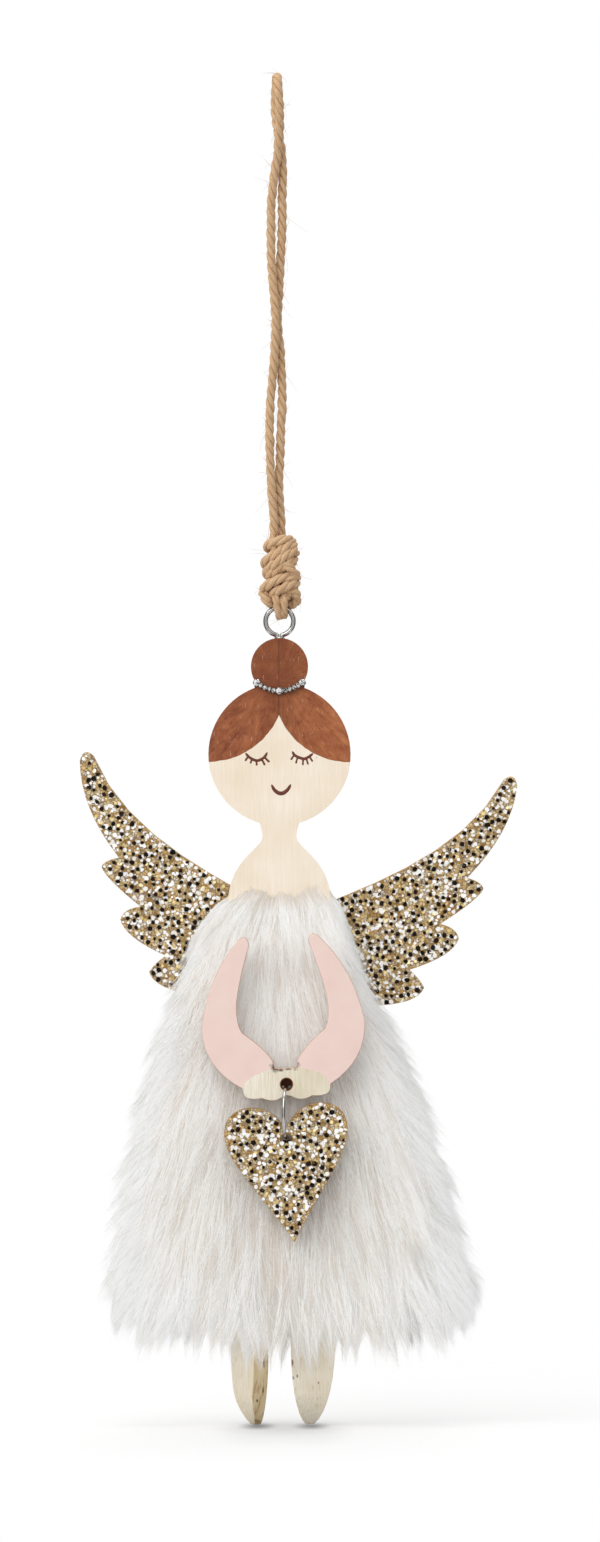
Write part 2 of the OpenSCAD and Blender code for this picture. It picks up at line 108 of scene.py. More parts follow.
# camera: straight on, far away, as a product picture is taken
view = {"distance": 3.0, "middle": (0.00574, -0.19292), "tall": 0.43176}
cameraData = bpy.data.cameras.new("pictureCamera")
cameraData.lens = cameraData.sensor_width * view["distance"] / view["tall"]
cameraData.clip_end = 30
camera = bpy.data.objects.new("pictureCamera", cameraData)
camera.location = (view["middle"][0], -view["distance"], view["middle"][1])
camera.rotation_euler = (math.pi / 2, 0, 0)
scene.collection.objects.link(camera)
scene.camera = camera
print("camera set")


def addPiece(name, verts, faces, materials, body=None, slot=None, smooth=True, uv=None, faceMaterials=None):
    mesh = bpy.data.meshes.new(name)
    mesh.from_pydata([tuple(v) for v in verts], [], faces)
    return finishPiece(mesh, name, materials, body, smooth, uv, faceMaterials)


def finishPiece(mesh, name, materials, body, smooth, uv=None, faceMaterials=None):
    for material in materials:
        mesh.materials.append(material)
    if faceMaterials is not None:
        mesh.polygons.foreach_set("material_index", np.asarray(faceMaterials, np.int32))
    if uv is not None:  # one place for each vertex
        layer = mesh.uv_layers.new(name="OFBake")
        corners = np.zeros(len(mesh.loops), np.int32)
        mesh.loops.foreach_get("vertex_index", corners)
        layer.uv.foreach_set("vector", np.asarray(uv, np.float32)[corners].ravel())
    mesh.polygons.foreach_set("use_smooth", np.full(len(mesh.polygons), smooth))
    mesh.update()
    piece = bpy.data.objects.new(name, mesh)
    scene.collection.objects.link(piece)
    if body:
        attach(piece, body)
    return piece


def unit(vectors):
    return vectors / np.linalg.norm(vectors, axis=-1, keepdims=True)


def smoothRoute(points, steps):
    # Catmull-Rom through the points
    p = np.asarray(points, float)
    p = np.vstack([p[:1], p, p[-1:]])
    found = []
    for i in range(1, len(p) - 2):
        a, b, c, d = p[i - 1:i + 3]
        for k in range(steps):
            t = k / steps
            found.append(b + 0.5 * t * ((c - a) + t * ((2 * a - 5 * b + 4 * c - d) + t * (3 * b - a - 3 * c + d))))
    return np.array(found + [p[-2]])


def evenRoute(points, spacing):
    lengths = np.concatenate([[0], np.cumsum(np.linalg.norm(np.diff(points, axis=0), axis=1))])
    at = np.linspace(0, lengths[-1], max(4, int(lengths[-1] / spacing)))
    return np.stack([np.interp(at, lengths, points[:, k]) for k in range(3)], 1), at


def framesAlong(path):
    tangent = unit(np.gradient(path, axis=0))
    across = [unit(np.cross(tangent[0], (0.3, 1, 0.2)))]
    for t in tangent[1:]:
        across.append(unit(across[-1] - t * np.dot(across[-1], t)))
    across = np.array(across)
    return tangent, across, np.cross(tangent, across)


def ringFaces(rows, sides, closed=False):
    # quads between rows of vertices that go round
    faces = []
    for i in range(rows if closed else rows - 1):
        j = (i + 1) % rows
        for k in range(sides):
            m = (k + 1) % sides
            faces.append((i * sides + k, i * sides + m, j * sides + m, j * sides + k))
    return faces


def cappedFaces(rows, sides):
    # the same with both ends closed
    last = (rows - 1) * sides
    return ringFaces(rows, sides) + [tuple(range(sides - 1, -1, -1)), tuple(range(last, last + sides))]


def plateFaces(sides):
    # a flat plate between two outlines
    caps = [tuple(range(sides)), tuple(range(2 * sides - 1, sides - 1, -1))]
    return caps + [(k, k + sides, (k + 1) % sides + sides, (k + 1) % sides) for k in range(sides)]


def sweep(path, radius, sides, across, up):
    # a round tube with closed ends
    radius = np.broadcast_to(np.asarray(radius, float), (len(path),))
    turn = 2 * math.pi * np.arange(sides) / sides
    ring = np.cos(turn)[None, :, None] * across[:, None] + np.sin(turn)[None, :, None] * up[:, None]
    return (path[:, None] + ring * radius[:, None, None]).reshape(-1, 3), cappedFaces(len(path), sides)


def tube(path, radius, sides):
    return sweep(path, radius, sides, *framesAlong(path)[1:])


def joined(parts):
    verts, faces, start = [], [], 0
    for v, f in parts:
        verts.append(v)
        faces += [tuple(i + start for i in face) for face in f]
        start += len(v)
    return np.vstack(verts), faces


def addParts(name, parts, *rest, **more):
    # one piece of several shapes, in millimetres
    verts, faces = joined(parts)
    return addPiece(name, verts * mm, faces, *rest, **more)


# jute: a dull, hairy bast fibre, spun and laid in three plies, pale on top, with painted shade dark in the lay
juteTwine, tree, shader = newMaterial("juteTwine", Roughness=0.85, Specular_IOR_Level=0.2)
place = addNode(tree, "ShaderNodeUVMap", uv_map="OFBake")
parts = addNode(tree, "ShaderNodeSeparateXYZ", {0: place})
fibres = addNode(tree, "ShaderNodeMapping", {"Vector": place, "Scale": (70, 9, 1)})  # 0.1 mm fibres, drawn as 0.3 mm
streaks = addNode(tree, "ShaderNodeTexNoise", {"Vector": fibres, "Scale": 1.0, "Detail": 4.0, "Roughness": 0.6})
# painted shade: each ply is darker on its side that turns into the lay
lay = addNode(tree, "ShaderNodeMapRange", {"Value": parts.outputs[1], "From Min": 0.3, "From Max": 0.85},
              interpolation_type="SMOOTHSTEP")
pale = addNode(tree, "ShaderNodeMix", {0: streaks, 6: "#ae8056", 7: "#e2c6a2"}, data_type="RGBA")
spunWithLayShade = addNode(tree, "ShaderNodeMix", {0: lay, 6: pale, 7: "#85592f"}, data_type="RGBA")
rough = addNode(tree, "ShaderNodeBump", {"Height": streaks, "Strength": 0.7, "Distance": 0.0003})
setInputs(shader, {"Base Color": spunWithLayShade, "Normal": rough})

jute = {"thick": 2.6, "pitch": 9.5, "ply": 0.7, "lay": 0.6, "lump": 2.5, "lumpy": 0.06, "sides": 9, "spacing": 0.5,
        "seed": 11, "fibres": 520, "fibre": 0.045, "fibreLong": 4.0, "uvLength": 300}


def layTwine(route, thick, seed, spacing=jute["spacing"]):
    # three plies laid to the left round a route, in millimetres
    rng = np.random.default_rng(seed)
    path, along = evenRoute(route, spacing)
    across, up = framesAlong(path)[1:]
    size = thick / jute["thick"]
    lumps = max(4, int(along[-1] / jute["lump"]))
    around = np.abs(((np.arange(jute["sides"]) / jute["sides"] + 0.5) % 1) - 0.5) * 2
    parts, places = [], []
    for ply in range(3):
        swell = np.interp(along, np.linspace(0, along[-1], lumps), rng.normal(1, jute["lumpy"], lumps))
        turn = 2 * math.pi * (ply / 3 - along / jute["pitch"]) + rng.uniform(-0.2, 0.2)
        out = np.cos(turn)[:, None] * across + np.sin(turn)[:, None] * up
        centre = path + out * (jute["lay"] * size * swell)[:, None]
        heading = unit(np.gradient(centre, axis=0))
        side = unit(np.cross(heading, out))
        parts.append(sweep(centre, jute["ply"] * size * swell, jute["sides"], np.cross(side, heading), side))
        u = np.repeat(along / jute["uvLength"] + ply * 0.31, jute["sides"])
        places.append(np.stack([u % 1, np.tile(around, len(path))], 1))
    return parts, np.vstack(places)


def fuzz(route, thick, count, seed):
    # loose fibres that stand off the twine
    rng = np.random.default_rng(seed)
    path = evenRoute(route, jute["spacing"])[0]
    tangent, across, up = framesAlong(path)
    s = np.linspace(0, 1, 6)[:, None]
    parts, places = [], []
    for _ in range(count):
        i = rng.integers(2, len(path) - 2)
        turn = rng.uniform(0, 2 * math.pi)
        out = math.cos(turn) * across[i] + math.sin(turn) * up[i]
        side = math.cos(turn + 1.57) * across[i] + math.sin(turn + 1.57) * up[i]
        reach = jute["fibreLong"] * rng.uniform(0.2, 1) ** 2
        go = tangent[i] * rng.choice([-1, 1]) * rng.uniform(0.5, 1.2) + out * rng.uniform(0.2, 0.9) \
            + side * rng.normal(0, 0.5)
        bend = (tangent[i] * rng.normal(0, 0.7) - out * rng.uniform(0, 0.7) + side * rng.normal(0, 0.8)) * 0.6
        fibre = path[i] + out * thick * 0.42 + go * s * reach + bend * s ** 2 * reach
        parts.append(tube(fibre, jute["fibre"] * (1 - 0.7 * s[:, 0]), 3))
        places.append(np.tile([[rng.uniform(), 0.05]], (len(parts[-1][0]), 1)))
    return parts, np.vstack(places)


# hanging twine: the route of the doubled loop, from the knot up and back
cordRoute = [
    (-1.5, -1.0, -127.2), (-1.6, -1.0, -122), (-2.2, -0.8, -114), (-2.6, -0.6, -106), (-2.8, -0.4, -98),
    (-2.5, -0.4, -89), (-1.5, -1.0, -78), (-1.1, -1.4, -67), (-1.7, -1.2, -58), (-2.3, -0.7, -49),
    (-2.4, -0.4, -40), (-2.2, -0.6, -33), (-1.4, -0.9, -26), (-0.4, -1.6, -19), (0.1, -3.4, -13),
    (0.1, -4.9, -8), (-0.2, -5.2, -4), (-0.6, -3.7, -0.2), (-0.8, 0, 1.3), (-1.0, 3.7, -0.2),
    (-1.2, 5.2, -4), (-1.2, 4.9, -8), (-0.6, 3.4, -13), (0.5, 1.6, -19), (0.9, 0.9, -26),
    (0.7, 0.6, -33), (0.8, 0.4, -40), (0.3, 0.8, -49), (-0.1, 1.2, -58), (-0.5, 1.4, -67),
    (0.4, 1.0, -78), (0.8, 0.4, -89), (0.4, 0.5, -98), (0.1, 0.8, -106), (-0.2, 1.2, -114),
    (0.4, 1.0, -122), (0.4, 1.0, -127.2)]
cordLine = smoothRoute(cordRoute, 8)
parts, places = layTwine(cordLine, jute["thick"], jute["seed"])
cordPiece = addParts("hangingTwine", parts, [juteTwine], slot="jute_twine", uv=places)
parts, places = fuzz(cordLine, jute["thick"], jute["fibres"], jute["seed"] + 1)
cordFuzz = addParts("hangingTwineFibres", parts, [juteTwine], slot="jute_twine", uv=places)
for piece in (cordPiece, cordFuzz):
    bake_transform(piece, "twine_loop", "knot", start=(0, 0, -0.03), end=(0, 0, -0.127))
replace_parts(cordPiece, "hanging_cord")
print("hanging twine laid")

# knot: the doubled twine wound round itself, then through the eye; routes by how thick the twine lies there
knot = {"lay": 0.6, "spacing": 0.4, "fibres": 34, "seed": 40, "fibreSeed": 70, "routes": [
    (2.9, [
        [(-1.5, -1.0, -126.9), (-1.7, -1.5, -129.0), (-1.3, -2.0, -131.2), (-0.8, -0.6, -133.5), (-0.4, 0.4, -136)],
        [(0.4, 1.0, -126.9), (0.8, 0.3, -129.0), (0.9, -0.4, -131.2), (0.6, 0.0, -134), (0.3, 0.6, -137)],
        [(-1.5, 2.2, -131.2), (-3.1, 1.2, -130.6), (-3.2, -1.0, -129.9), (-1.8, -2.6, -129.0), (0.4, -3.0, -128.4),
         (2.5, -2.3, -128.1), (3.3, -0.4, -128.6), (2.8, 1.6, -129.6), (0.8, 2.5, -130.6)],
        [(-3.2, -1.4, -138.4), (-1.6, -2.7, -137.2), (0.6, -3.1, -135.9), (2.6, -2.8, -134.4), (3.9, -1.2, -133.8),
         (3.6, 1.0, -134.4)],
        [(-1.8, 2.4, -136.2), (-3.6, 1.5, -135.4), (-3.9, -0.9, -134.3), (-2.4, -2.7, -133.0), (0.2, -3.3, -131.5),
         (2.4, -2.9, -130.0), (3.7, -1.2, -129.7), (3.6, 1.2, -130.8), (1.8, 2.8, -132.2), (-0.4, 2.6, -133.6)],
        [(-1.0, 1.6, -139.0), (-3.0, 1.0, -138.2), (-3.5, -1.0, -137.2), (-2.2, -3.0, -135.6), (0.3, -3.7, -133.8),
         (2.6, -3.3, -132.0), (4.1, -1.5, -131.3), (4.1, 0.9, -132.2), (2.2, 2.7, -134.0), (0, 2.4, -135.4)],
        [(0.2, -1.6, -134.6), (1.6, -3.2, -135.3), (3.2, -3.1, -136.4), (4.5, -1.7, -138.0), (4.5, 0.5, -138.9),
         (2.8, 2.4, -138.8), (0.4, 2.6, -138.0)],
        [(-2.6, 2.0, -142.2), (-4.2, 0.6, -142.2), (-4.0, -1.5, -141.4), (-2.2, -3.1, -140.3), (0.3, -3.6, -139.2),
         (2.5, -2.9, -138.5), (3.8, -1.0, -139.4), (3.2, 1.6, -140.0), (0.8, 2.6, -140.2)],
        [(-2.0, -1.0, -143.6), (-0.8, -2.9, -142.7), (1.2, -3.6, -141.6), (3.2, -2.8, -140.6), (4.4, -0.6, -140.5),
         (3.8, 1.6, -141.2), (1.6, 2.6, -142)],
        [(-2.6, 2.2, -141.6), (-4.2, 0.9, -142.6), (-4.3, -0.9, -143.8), (-3.6, -1.6, -145.2), (-2.4, -0.6, -146.0),
         (-1.6, 1.2, -145.9)],
        [(2.2, -2.0, -142.4), (4.0, -2.0, -142.9), (4.8, -0.9, -144.2), (4.5, 0.3, -145.8), (3.2, 0.9, -146.2),
         (1.6, 1.4, -145.4)]]),
    (2.3, [
        [(2.1, 0.6, -144.6), (2.2, -1.6, -144.0), (2.25, -3.1, -143.9)],
        [(-1.0, -1.2, -142.8), (-1.0, -2.6, -144.4), (-0.7, -2.9, -146.6), (-0.2, -2.2, -148.6), (0.0, -0.6, -149.6),
         (0.0, 0.9, -149.5), (0.0, 2.3, -148.3), (0.0, 2.5, -146.4), (0.0, 1.8, -144.4)],
        [(1.0, -1.0, -142.8), (1.1, -2.4, -144.4), (1.15, -2.7, -146.6), (1.2, -2.1, -148.5), (1.3, -0.6, -149.3),
         (1.3, 0.9, -149.2), (1.3, 2.3, -148.0), (1.2, 2.5, -146.4), (1.0, 1.8, -144.4)]]),
    (3.6, [
        [(-1.0, 0.4, -130.5), (-1.3, 0.6, -134), (-1.1, 0.5, -138), (-1.6, 0.4, -142), (-1.4, 0.6, -144.6)],
        [(1.2, 0.5, -130.5), (1.5, 0.4, -134), (1.8, 0.5, -138), (1.6, 0.4, -142), (1.7, 0.5, -144.4)],
        [(2.4, 0.4, -140.0), (3.0, 0.2, -142.4), (2.9, 0.3, -144.6)]])]}
plies, places, hairs, hairPlaces = [], [], [], []
for i, (thick, route) in enumerate((thick, route) for thick, group in knot["routes"] for route in group):
    line = smoothRoute(route, 10)
    parts, uv = layTwine(line, thick, knot["seed"] + i, knot["spacing"])
    plies += parts
    # the knot's plies take less of the painted shade in the lay
    places.append(uv * (1, knot["lay"]))
    parts, uv = fuzz(line, thick, knot["fibres"], knot["fibreSeed"] + i)
    hairs += parts
    hairPlaces.append(uv)
knotPiece = addParts("twineKnot", plies, [juteTwine], "knot", "jute_twine", uv=np.vstack(places))
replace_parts(knotPiece, "cord_knot")
addParts("twineKnotFibres", hairs, [juteTwine], "knot", "jute_twine", uv=np.vstack(hairPlaces))
print("knot tied")

# nickel plate on steel wire: bright, a little soft from drawing, fine scratches
nickelPlate, tree, shader, scratch = mottled("nickelPlate", 0.4, 3.0, "#a3a2a1", "#cbcac8", Metallic=1.0)
dull = addNode(tree, "ShaderNodeMapRange", {"Value": scratch, "To Min": 0.07, "To Max": 0.15})
setInputs(shader, {"Roughness": dull})

# screw eye: one wire bent to a ring, its two ends side by side into the bun, with a collar on the wood
eye = {"middle": -151.0, "radius": 3.9, "wire": 0.7, "opening": 13, "bunTop": -155.7,
       "shank": [(0.5, -158.0), (0.5, -156.2), (0.56, -155.3)],
       "collar": [(-0.3, 1.5), (0.1, 1.45), (0.35, 1.3), (0.6, 0.8)]}
turn = np.radians(np.linspace(-90 + eye["opening"], 270 - eye["opening"], 61))
ring = np.stack([eye["radius"] * np.cos(turn), 0 * turn, eye["middle"] + eye["radius"] * np.sin(turn)], 1)
wire = np.vstack([[(x, 0, z) for x, z in eye["shank"]], ring, [(-x, 0, z) for x, z in eye["shank"][::-1]]])
wire = evenRoute(smoothRoute(wire, 4), 0.25)[0]
collar = np.array([(0, 0, eye["bunTop"] + high) for high, radius in eye["collar"]])
parts = [tube(wire, eye["wire"], 14), tube(collar, [radius for high, radius in eye["collar"]], 20)]
eyePiece = addParts("screwEye", parts, [nickelPlate], "figure", "plated_steel")
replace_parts(eyePiece, "screw_eye")

jumpRings = {"wire": 0.5, "slit": 1.2}


def jumpRing(name, node, body, middle, radius, facing, slit):
    # a wire ring with the slit at which it was bent open
    turn = np.radians(np.linspace(slit + jumpRings["slit"], slit + 360 - jumpRings["slit"], 73))
    level = np.stack([math.sin(facing) * np.cos(turn), math.cos(facing) * np.cos(turn), np.sin(turn)], 1)
    ring = tube(np.array(middle) + radius * level, jumpRings["wire"], 14)
    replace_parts(addParts(name, [ring], [nickelPlate], body, "plated_steel"), node)


jumpRing("heartRing", "heart_ring", "heart_link", (2, -17, -287.867), 7.2, math.radians(7), 20)
jumpRing("leftLegRing", "left_leg_ring", "left_leg_link", (-8.35, 0, -335.818), 5.5, math.radians(28.5), 90)
jumpRing("rightLegRing", "right_leg_ring", "right_leg_link", (9.35, 0, -334.994), 5.5, 0, 90)
print("wire work bent")

# birch plywood, laser cut and sanded: cream, straight fine grain, short tan pores, browned edges
grain = {"wide": 0.5, "long": 11.0, "pore": (0.28, 0.28, 2.6), "cloud": 14, "ply": 1.25, "burn": 2.2}


def flecked(tree, place, colour, tone, angle, size, levels, share, start=(0, 0, 0), detail=2.0, bend=0.0):
    # fine marks in a tone of their own, such as pores, scuffs and drips, their size in millimetres
    slant = addNode(tree, "ShaderNodeMapping", {"Vector": place, "Location": start, "Rotation": (0, angle, 0),
                    "Scale": [1 / (v * mm) for v in size]})
    marks = addNode(tree, "ShaderNodeTexNoise", {"Vector": slant, "Scale": 1.0, "Detail": detail, "Distortion": bend})
    shown = addNode(tree, "ShaderNodeMapRange", {"Value": marks, "From Min": levels[0], "From Max": levels[1],
                    "To Max": share})
    return addNode(tree, "ShaderNodeMix", {0: shown, 6: colour, 7: tone}, data_type="RGBA")


def woodGrain(tree, light, dark, pore, fleck=0.69):
    place = addNode(tree, "ShaderNodeTexCoord").outputs["Object"]
    wide, long = 1 / (grain["wide"] * mm), 1 / (grain["long"] * mm)
    streak = addNode(tree, "ShaderNodeMapping", {"Vector": place, "Scale": (wide, wide, long)})
    lines = addNode(tree, "ShaderNodeTexNoise", {"Vector": streak, "Scale": 1.0, "Detail": 5.0, "Roughness": 0.62,
                    "Distortion": 0.3})
    cloud = addNode(tree, "ShaderNodeTexNoise", {"Vector": place, "Scale": 1 / (grain["cloud"] * mm), "Detail": 2.0})
    share = addNode(tree, "ShaderNodeMath", {0: lines, 1: cloud}, operation="MULTIPLY")
    soft = addNode(tree, "ShaderNodeMapRange", {"Value": share, "From Min": 0.12, "From Max": 0.42})
    wood = addNode(tree, "ShaderNodeMix", {0: soft, 6: dark, 7: light}, data_type="RGBA")
    pores = flecked(tree, place, wood, pore, 0, grain["pore"], (fleck, fleck + 0.11), 0.55, detail=1.0)
    relief = addNode(tree, "ShaderNodeBump", {"Height": lines, "Strength": 0.25, "Distance": 0.0001})
    return place, pores, relief


def spotted(tree, place, colour, marks, burn):
    # burn marks where the laser paused, each a place, a radius and how tall it is to its width
    worst = None
    edge = addNode(tree, "ShaderNodeTexNoise", {"Vector": place, "Scale": 1 / (0.7 * mm), "Detail": 2.0})
    for x, z, radius, tall in marks:
        level = addNode(tree, "ShaderNodeMapping", {"Vector": place, "Location": (x * mm, 0, z * mm),
                        "Scale": (radius * mm, 1, radius * tall * mm)}, vector_type="TEXTURE")
        flat = addNode(tree, "ShaderNodeVectorMath", {0: level, 1: (1, 0, 1)}, operation="MULTIPLY")
        near = addNode(tree, "ShaderNodeVectorMath", {0: flat}, operation="LENGTH")
        ragged = addNode(tree, "ShaderNodeMath", {0: edge, 1: 1.2, 2: near}, operation="MULTIPLY_ADD")
        mark = addNode(tree, "ShaderNodeMapRange", {"Value": ragged, "From Min": 0.9, "From Max": 1.6, "To Min": 0.9,
                       "To Max": 0.0})
        worst = mark if worst is None else addNode(tree, "ShaderNodeMath", {0: worst, 1: mark}, operation="MAXIMUM")
    return addNode(tree, "ShaderNodeMix", {0: worst, 6: colour, 7: burn}, data_type="RGBA")


def edgeMaterial(name, light, dark, burn, amount):
    # sawn plies across the thickness, with brown laser burns
    material, tree, shader = newMaterial(name, Roughness=0.7)
    place, wood, relief = woodGrain(tree, light, dark, burn)
    parts = addNode(tree, "ShaderNodeSeparateXYZ", {0: place})
    plies = addNode(tree, "ShaderNodeMath", {0: parts.outputs[1], 1: 1 / (grain["ply"] * mm)}, operation="MULTIPLY")
    band = addNode(tree, "ShaderNodeMath", {0: plies, 1: 1.0}, operation="PINGPONG")
    veneer = addNode(tree, "ShaderNodeMix", {0: band, 6: wood, 7: dark}, data_type="RGBA")
    scorch = addNode(tree, "ShaderNodeTexNoise", {"Vector": place, "Scale": 1 / (grain["burn"] * mm), "Detail": 4.0,
                     "Roughness": 0.65})
    burnt = addNode(tree, "ShaderNodeMapRange", {"Value": scorch, "From Min": 0.72 - amount, "From Max": 0.86 - amount})
    browned = addNode(tree, "ShaderNodeMix", {0: burnt, 6: veneer, 7: burn}, data_type="RGBA")
    setInputs(shader, {"Base Color": browned, "Normal": relief})
    return material, tree, shader, place, browned


def boardMesh(node, name):
    # a copy of the board's own solid, each flat face whole again
    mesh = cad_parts[node].data.copy()
    mesh.name = name
    mesh.materials.clear()
    work = bmesh.new()
    work.from_mesh(mesh)
    bmesh.ops.remove_doubles(work, verts=work.verts, dist=1e-6)
    bmesh.ops.dissolve_limit(work, angle_limit=math.radians(0.5), verts=work.verts, edges=work.edges)
    return mesh, work


def dressedBoard(node, name, body, materials, facing=(0, 1, 0), bevel=0.22, bareFront=True):
    # sawn rims eased, faces and edges in their own finish
    mesh, work = boardMesh(node, name)
    sharp = math.radians(50)
    rims = [e for e in work.edges if len(e.link_faces) == 2 and e.calc_face_angle() > sharp]
    bmesh.ops.bevel(work, geom=rims, offset=bevel * mm, segments=3, profile=0.5, affect="EDGES", clamp_overlap=True)
    bmesh.ops.triangulate(work, faces=[f for f in work.faces if len(f.verts) > 4])
    axis = Vector(facing).normalized()
    work.normal_update()
    for face in work.faces:
        toward = face.normal.dot(axis)
        face.material_index = 0 if toward > 0.8 or bareFront and toward < -0.8 else 1
    work.to_mesh(mesh)
    work.free()
    for layer in list(mesh.attributes):
        if layer.name in ("sharp_face", "sharp_edge", "custom_normal"):
            mesh.attributes.remove(layer)
    mesh.set_sharp_from_angle(angle=sharp)
    piece = finishPiece(mesh, name, materials, body, True)
    piece.modifiers.new("flatFaces", "WEIGHTED_NORMAL").keep_sharp = True
    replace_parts(piece, node)
    return piece


# body board: bare birch with brown brushed paint for the hair
hair = {"left": (-19.82, 0, -168.98), "right": (19.6, 0, -169.12), "radius": 21.35, "above": -172.5, "bunFoot": -0.1675,
        "half": 16, "coat": ("#743a23", "#85462a"), "thinCoat": ("#ab6843", "#bb764b")}


def hairShare(tree, place):
    flat = addNode(tree, "ShaderNodeVectorMath", {0: place, 1: (1, 0, 1)}, operation="MULTIPLY")
    wobble = addNode(tree, "ShaderNodeTexNoise", {"Vector": flat, "Scale": 1 / (2.5 * mm), "Detail": 3.0})
    left, right = (addNode(tree, "ShaderNodeVectorMath", {0: flat, 1: [v * mm for v in hair[side]]},
                           operation="DISTANCE") for side in ("left", "right"))
    near = addNode(tree, "ShaderNodeMath", {0: left, 1: right}, operation="MINIMUM")
    shaky = addNode(tree, "ShaderNodeMath", {0: wobble, 1: 0.5 * mm, 2: near}, operation="MULTIPLY_ADD")
    parted = addNode(tree, "ShaderNodeMath", {0: shaky, 1: (hair["radius"] + 0.25) * mm}, operation="LESS_THAN")
    parts = addNode(tree, "ShaderNodeSeparateXYZ", {0: flat})
    above = addNode(tree, "ShaderNodeMath", {0: parts.outputs[2], 1: hair["above"] * mm}, operation="GREATER_THAN")
    return addNode(tree, "ShaderNodeMath", {0: parted, 1: above}, operation="MAXIMUM"), parts, flat


paintedBirch, tree, shader = newMaterial("paintedBirch", Roughness=0.7, Specular_IOR_Level=0.25)
place, wood, relief = woodGrain(tree, "#f6ebdb", "#ebdbc4", "#d9bd95")
share, parts, flat = hairShare(tree, place)
# brushed outward from the foot of the bun: strokes by angle and distance
fromBun = addNode(tree, "ShaderNodeVectorMath", {0: flat, 1: (0, 0, hair["bunFoot"])}, operation="SUBTRACT")
polar = addNode(tree, "ShaderNodeSeparateXYZ", {0: fromBun})
bearing = addNode(tree, "ShaderNodeMath", {0: polar.outputs[0], 1: polar.outputs[2]}, operation="ARCTAN2")
reach = addNode(tree, "ShaderNodeVectorMath", {0: fromBun}, operation="LENGTH")
stroke = addNode(tree, "ShaderNodeCombineXYZ", {0: bearing, 2: reach})
brush = addNode(tree, "ShaderNodeMapping", {"Vector": stroke, "Scale": (14, 1, 1 / (7 * mm))})
strokes = addNode(tree, "ShaderNodeTexNoise", {"Vector": brush, "Scale": 1.0, "Detail": 6.0, "Roughness": 0.7,
                  "Distortion": 0.9})
patches = addNode(tree, "ShaderNodeTexNoise", {"Vector": flat, "Scale": 1 / (3.5 * mm), "Detail": 5.0,
                  "Roughness": 0.65})
coat = addNode(tree, "ShaderNodeMath", {0: strokes, 1: patches}, operation="MULTIPLY")
thin = addNode(tree, "ShaderNodeMapRange", {"Value": coat, "From Min": 0.13, "From Max": 0.4})
# a little paler to the right
half = hair["half"] * mm
across = addNode(tree, "ShaderNodeMapRange", {"Value": parts.outputs[0], "From Min": -half, "From Max": half})
thickCoat, thinCoat = (addNode(tree, "ShaderNodeMix", {0: across, 6: left, 7: right}, data_type="RGBA")
                       for left, right in (hair["coat"], hair["thinCoat"]))
brown = addNode(tree, "ShaderNodeMix", {0: thin, 6: thickCoat, 7: thinCoat}, data_type="RGBA")
# dark along the parting and where the hair is combed from it
aside = addNode(tree, "ShaderNodeMath", {0: parts.outputs[0], 1: 0.25 * mm}, operation="ADD")
middle = addNode(tree, "ShaderNodeMath", {0: aside}, operation="ABSOLUTE")
parting, combed = (addNode(tree, "ShaderNodeMapRange", {"Value": middle, "From Min": low * mm, "From Max": high * mm,
                           "To Min": most, "To Max": 0.0}) for low, high, most in ((0.1, 0.45, 0.55), (0.4, 7, 0.5)))
uneven = addNode(tree, "ShaderNodeMath", {0: combed, 1: strokes}, operation="MULTIPLY")
dark = addNode(tree, "ShaderNodeMath", {0: parting, 1: uneven}, operation="MAXIMUM")
deep = addNode(tree, "ShaderNodeMix", {0: dark, 6: brown, 7: "#4a2415"}, data_type="RGBA")
pale = flecked(tree, flat, deep, "#d9bca9", 0.65, (0.32, 1000, 2.6), (0.67, 0.72), 0.6, bend=0.4)
worn = flecked(tree, flat, pale, "#54291a", -0.5, (0.4, 1000, 2.4), (0.65, 0.72), 0.65, start=(0.3, 0, 0.1), bend=0.7)
bunShare = addNode(tree, "ShaderNodeMapRange", {"Value": parts.outputs[2], "From Min": -0.1725, "From Max": -0.1695,
                   "To Max": 0.38})
bunTone = addNode(tree, "ShaderNodeMix", {0: bunShare, 6: worn, 7: "#70381f"}, data_type="RGBA")
face = addNode(tree, "ShaderNodeMix", {0: share, 6: wood, 7: bunTone}, data_type="RGBA")
setInputs(shader, {"Base Color": face, "Normal": relief})

bodyEdge, tree, shader, place, sawn = edgeMaterial("birchEdge", "#dcc6a3", "#c4a880", "#8a6440", 0.08)
share, parts, flat = hairShare(tree, place)
rubbed = addNode(tree, "ShaderNodeTexNoise", {"Vector": flat, "Scale": 1 / (3.5 * mm), "Detail": 3.0})
rub = addNode(tree, "ShaderNodeMapRange", {"Value": rubbed, "From Min": 0.48, "From Max": 0.7})
edgePaint = addNode(tree, "ShaderNodeMix", {0: rub, 6: "#84492f", 7: "#a9694a"}, data_type="RGBA")
edgeTone = addNode(tree, "ShaderNodeMix", {0: share, 6: sawn, 7: edgePaint}, data_type="RGBA")
setInputs(shader, {"Base Color": edgeTone})
dressedBoard("body_board", "bodyBoard", "figure", [paintedBirch, bodyEdge], bevel=0.32)
print("body board cut and painted")

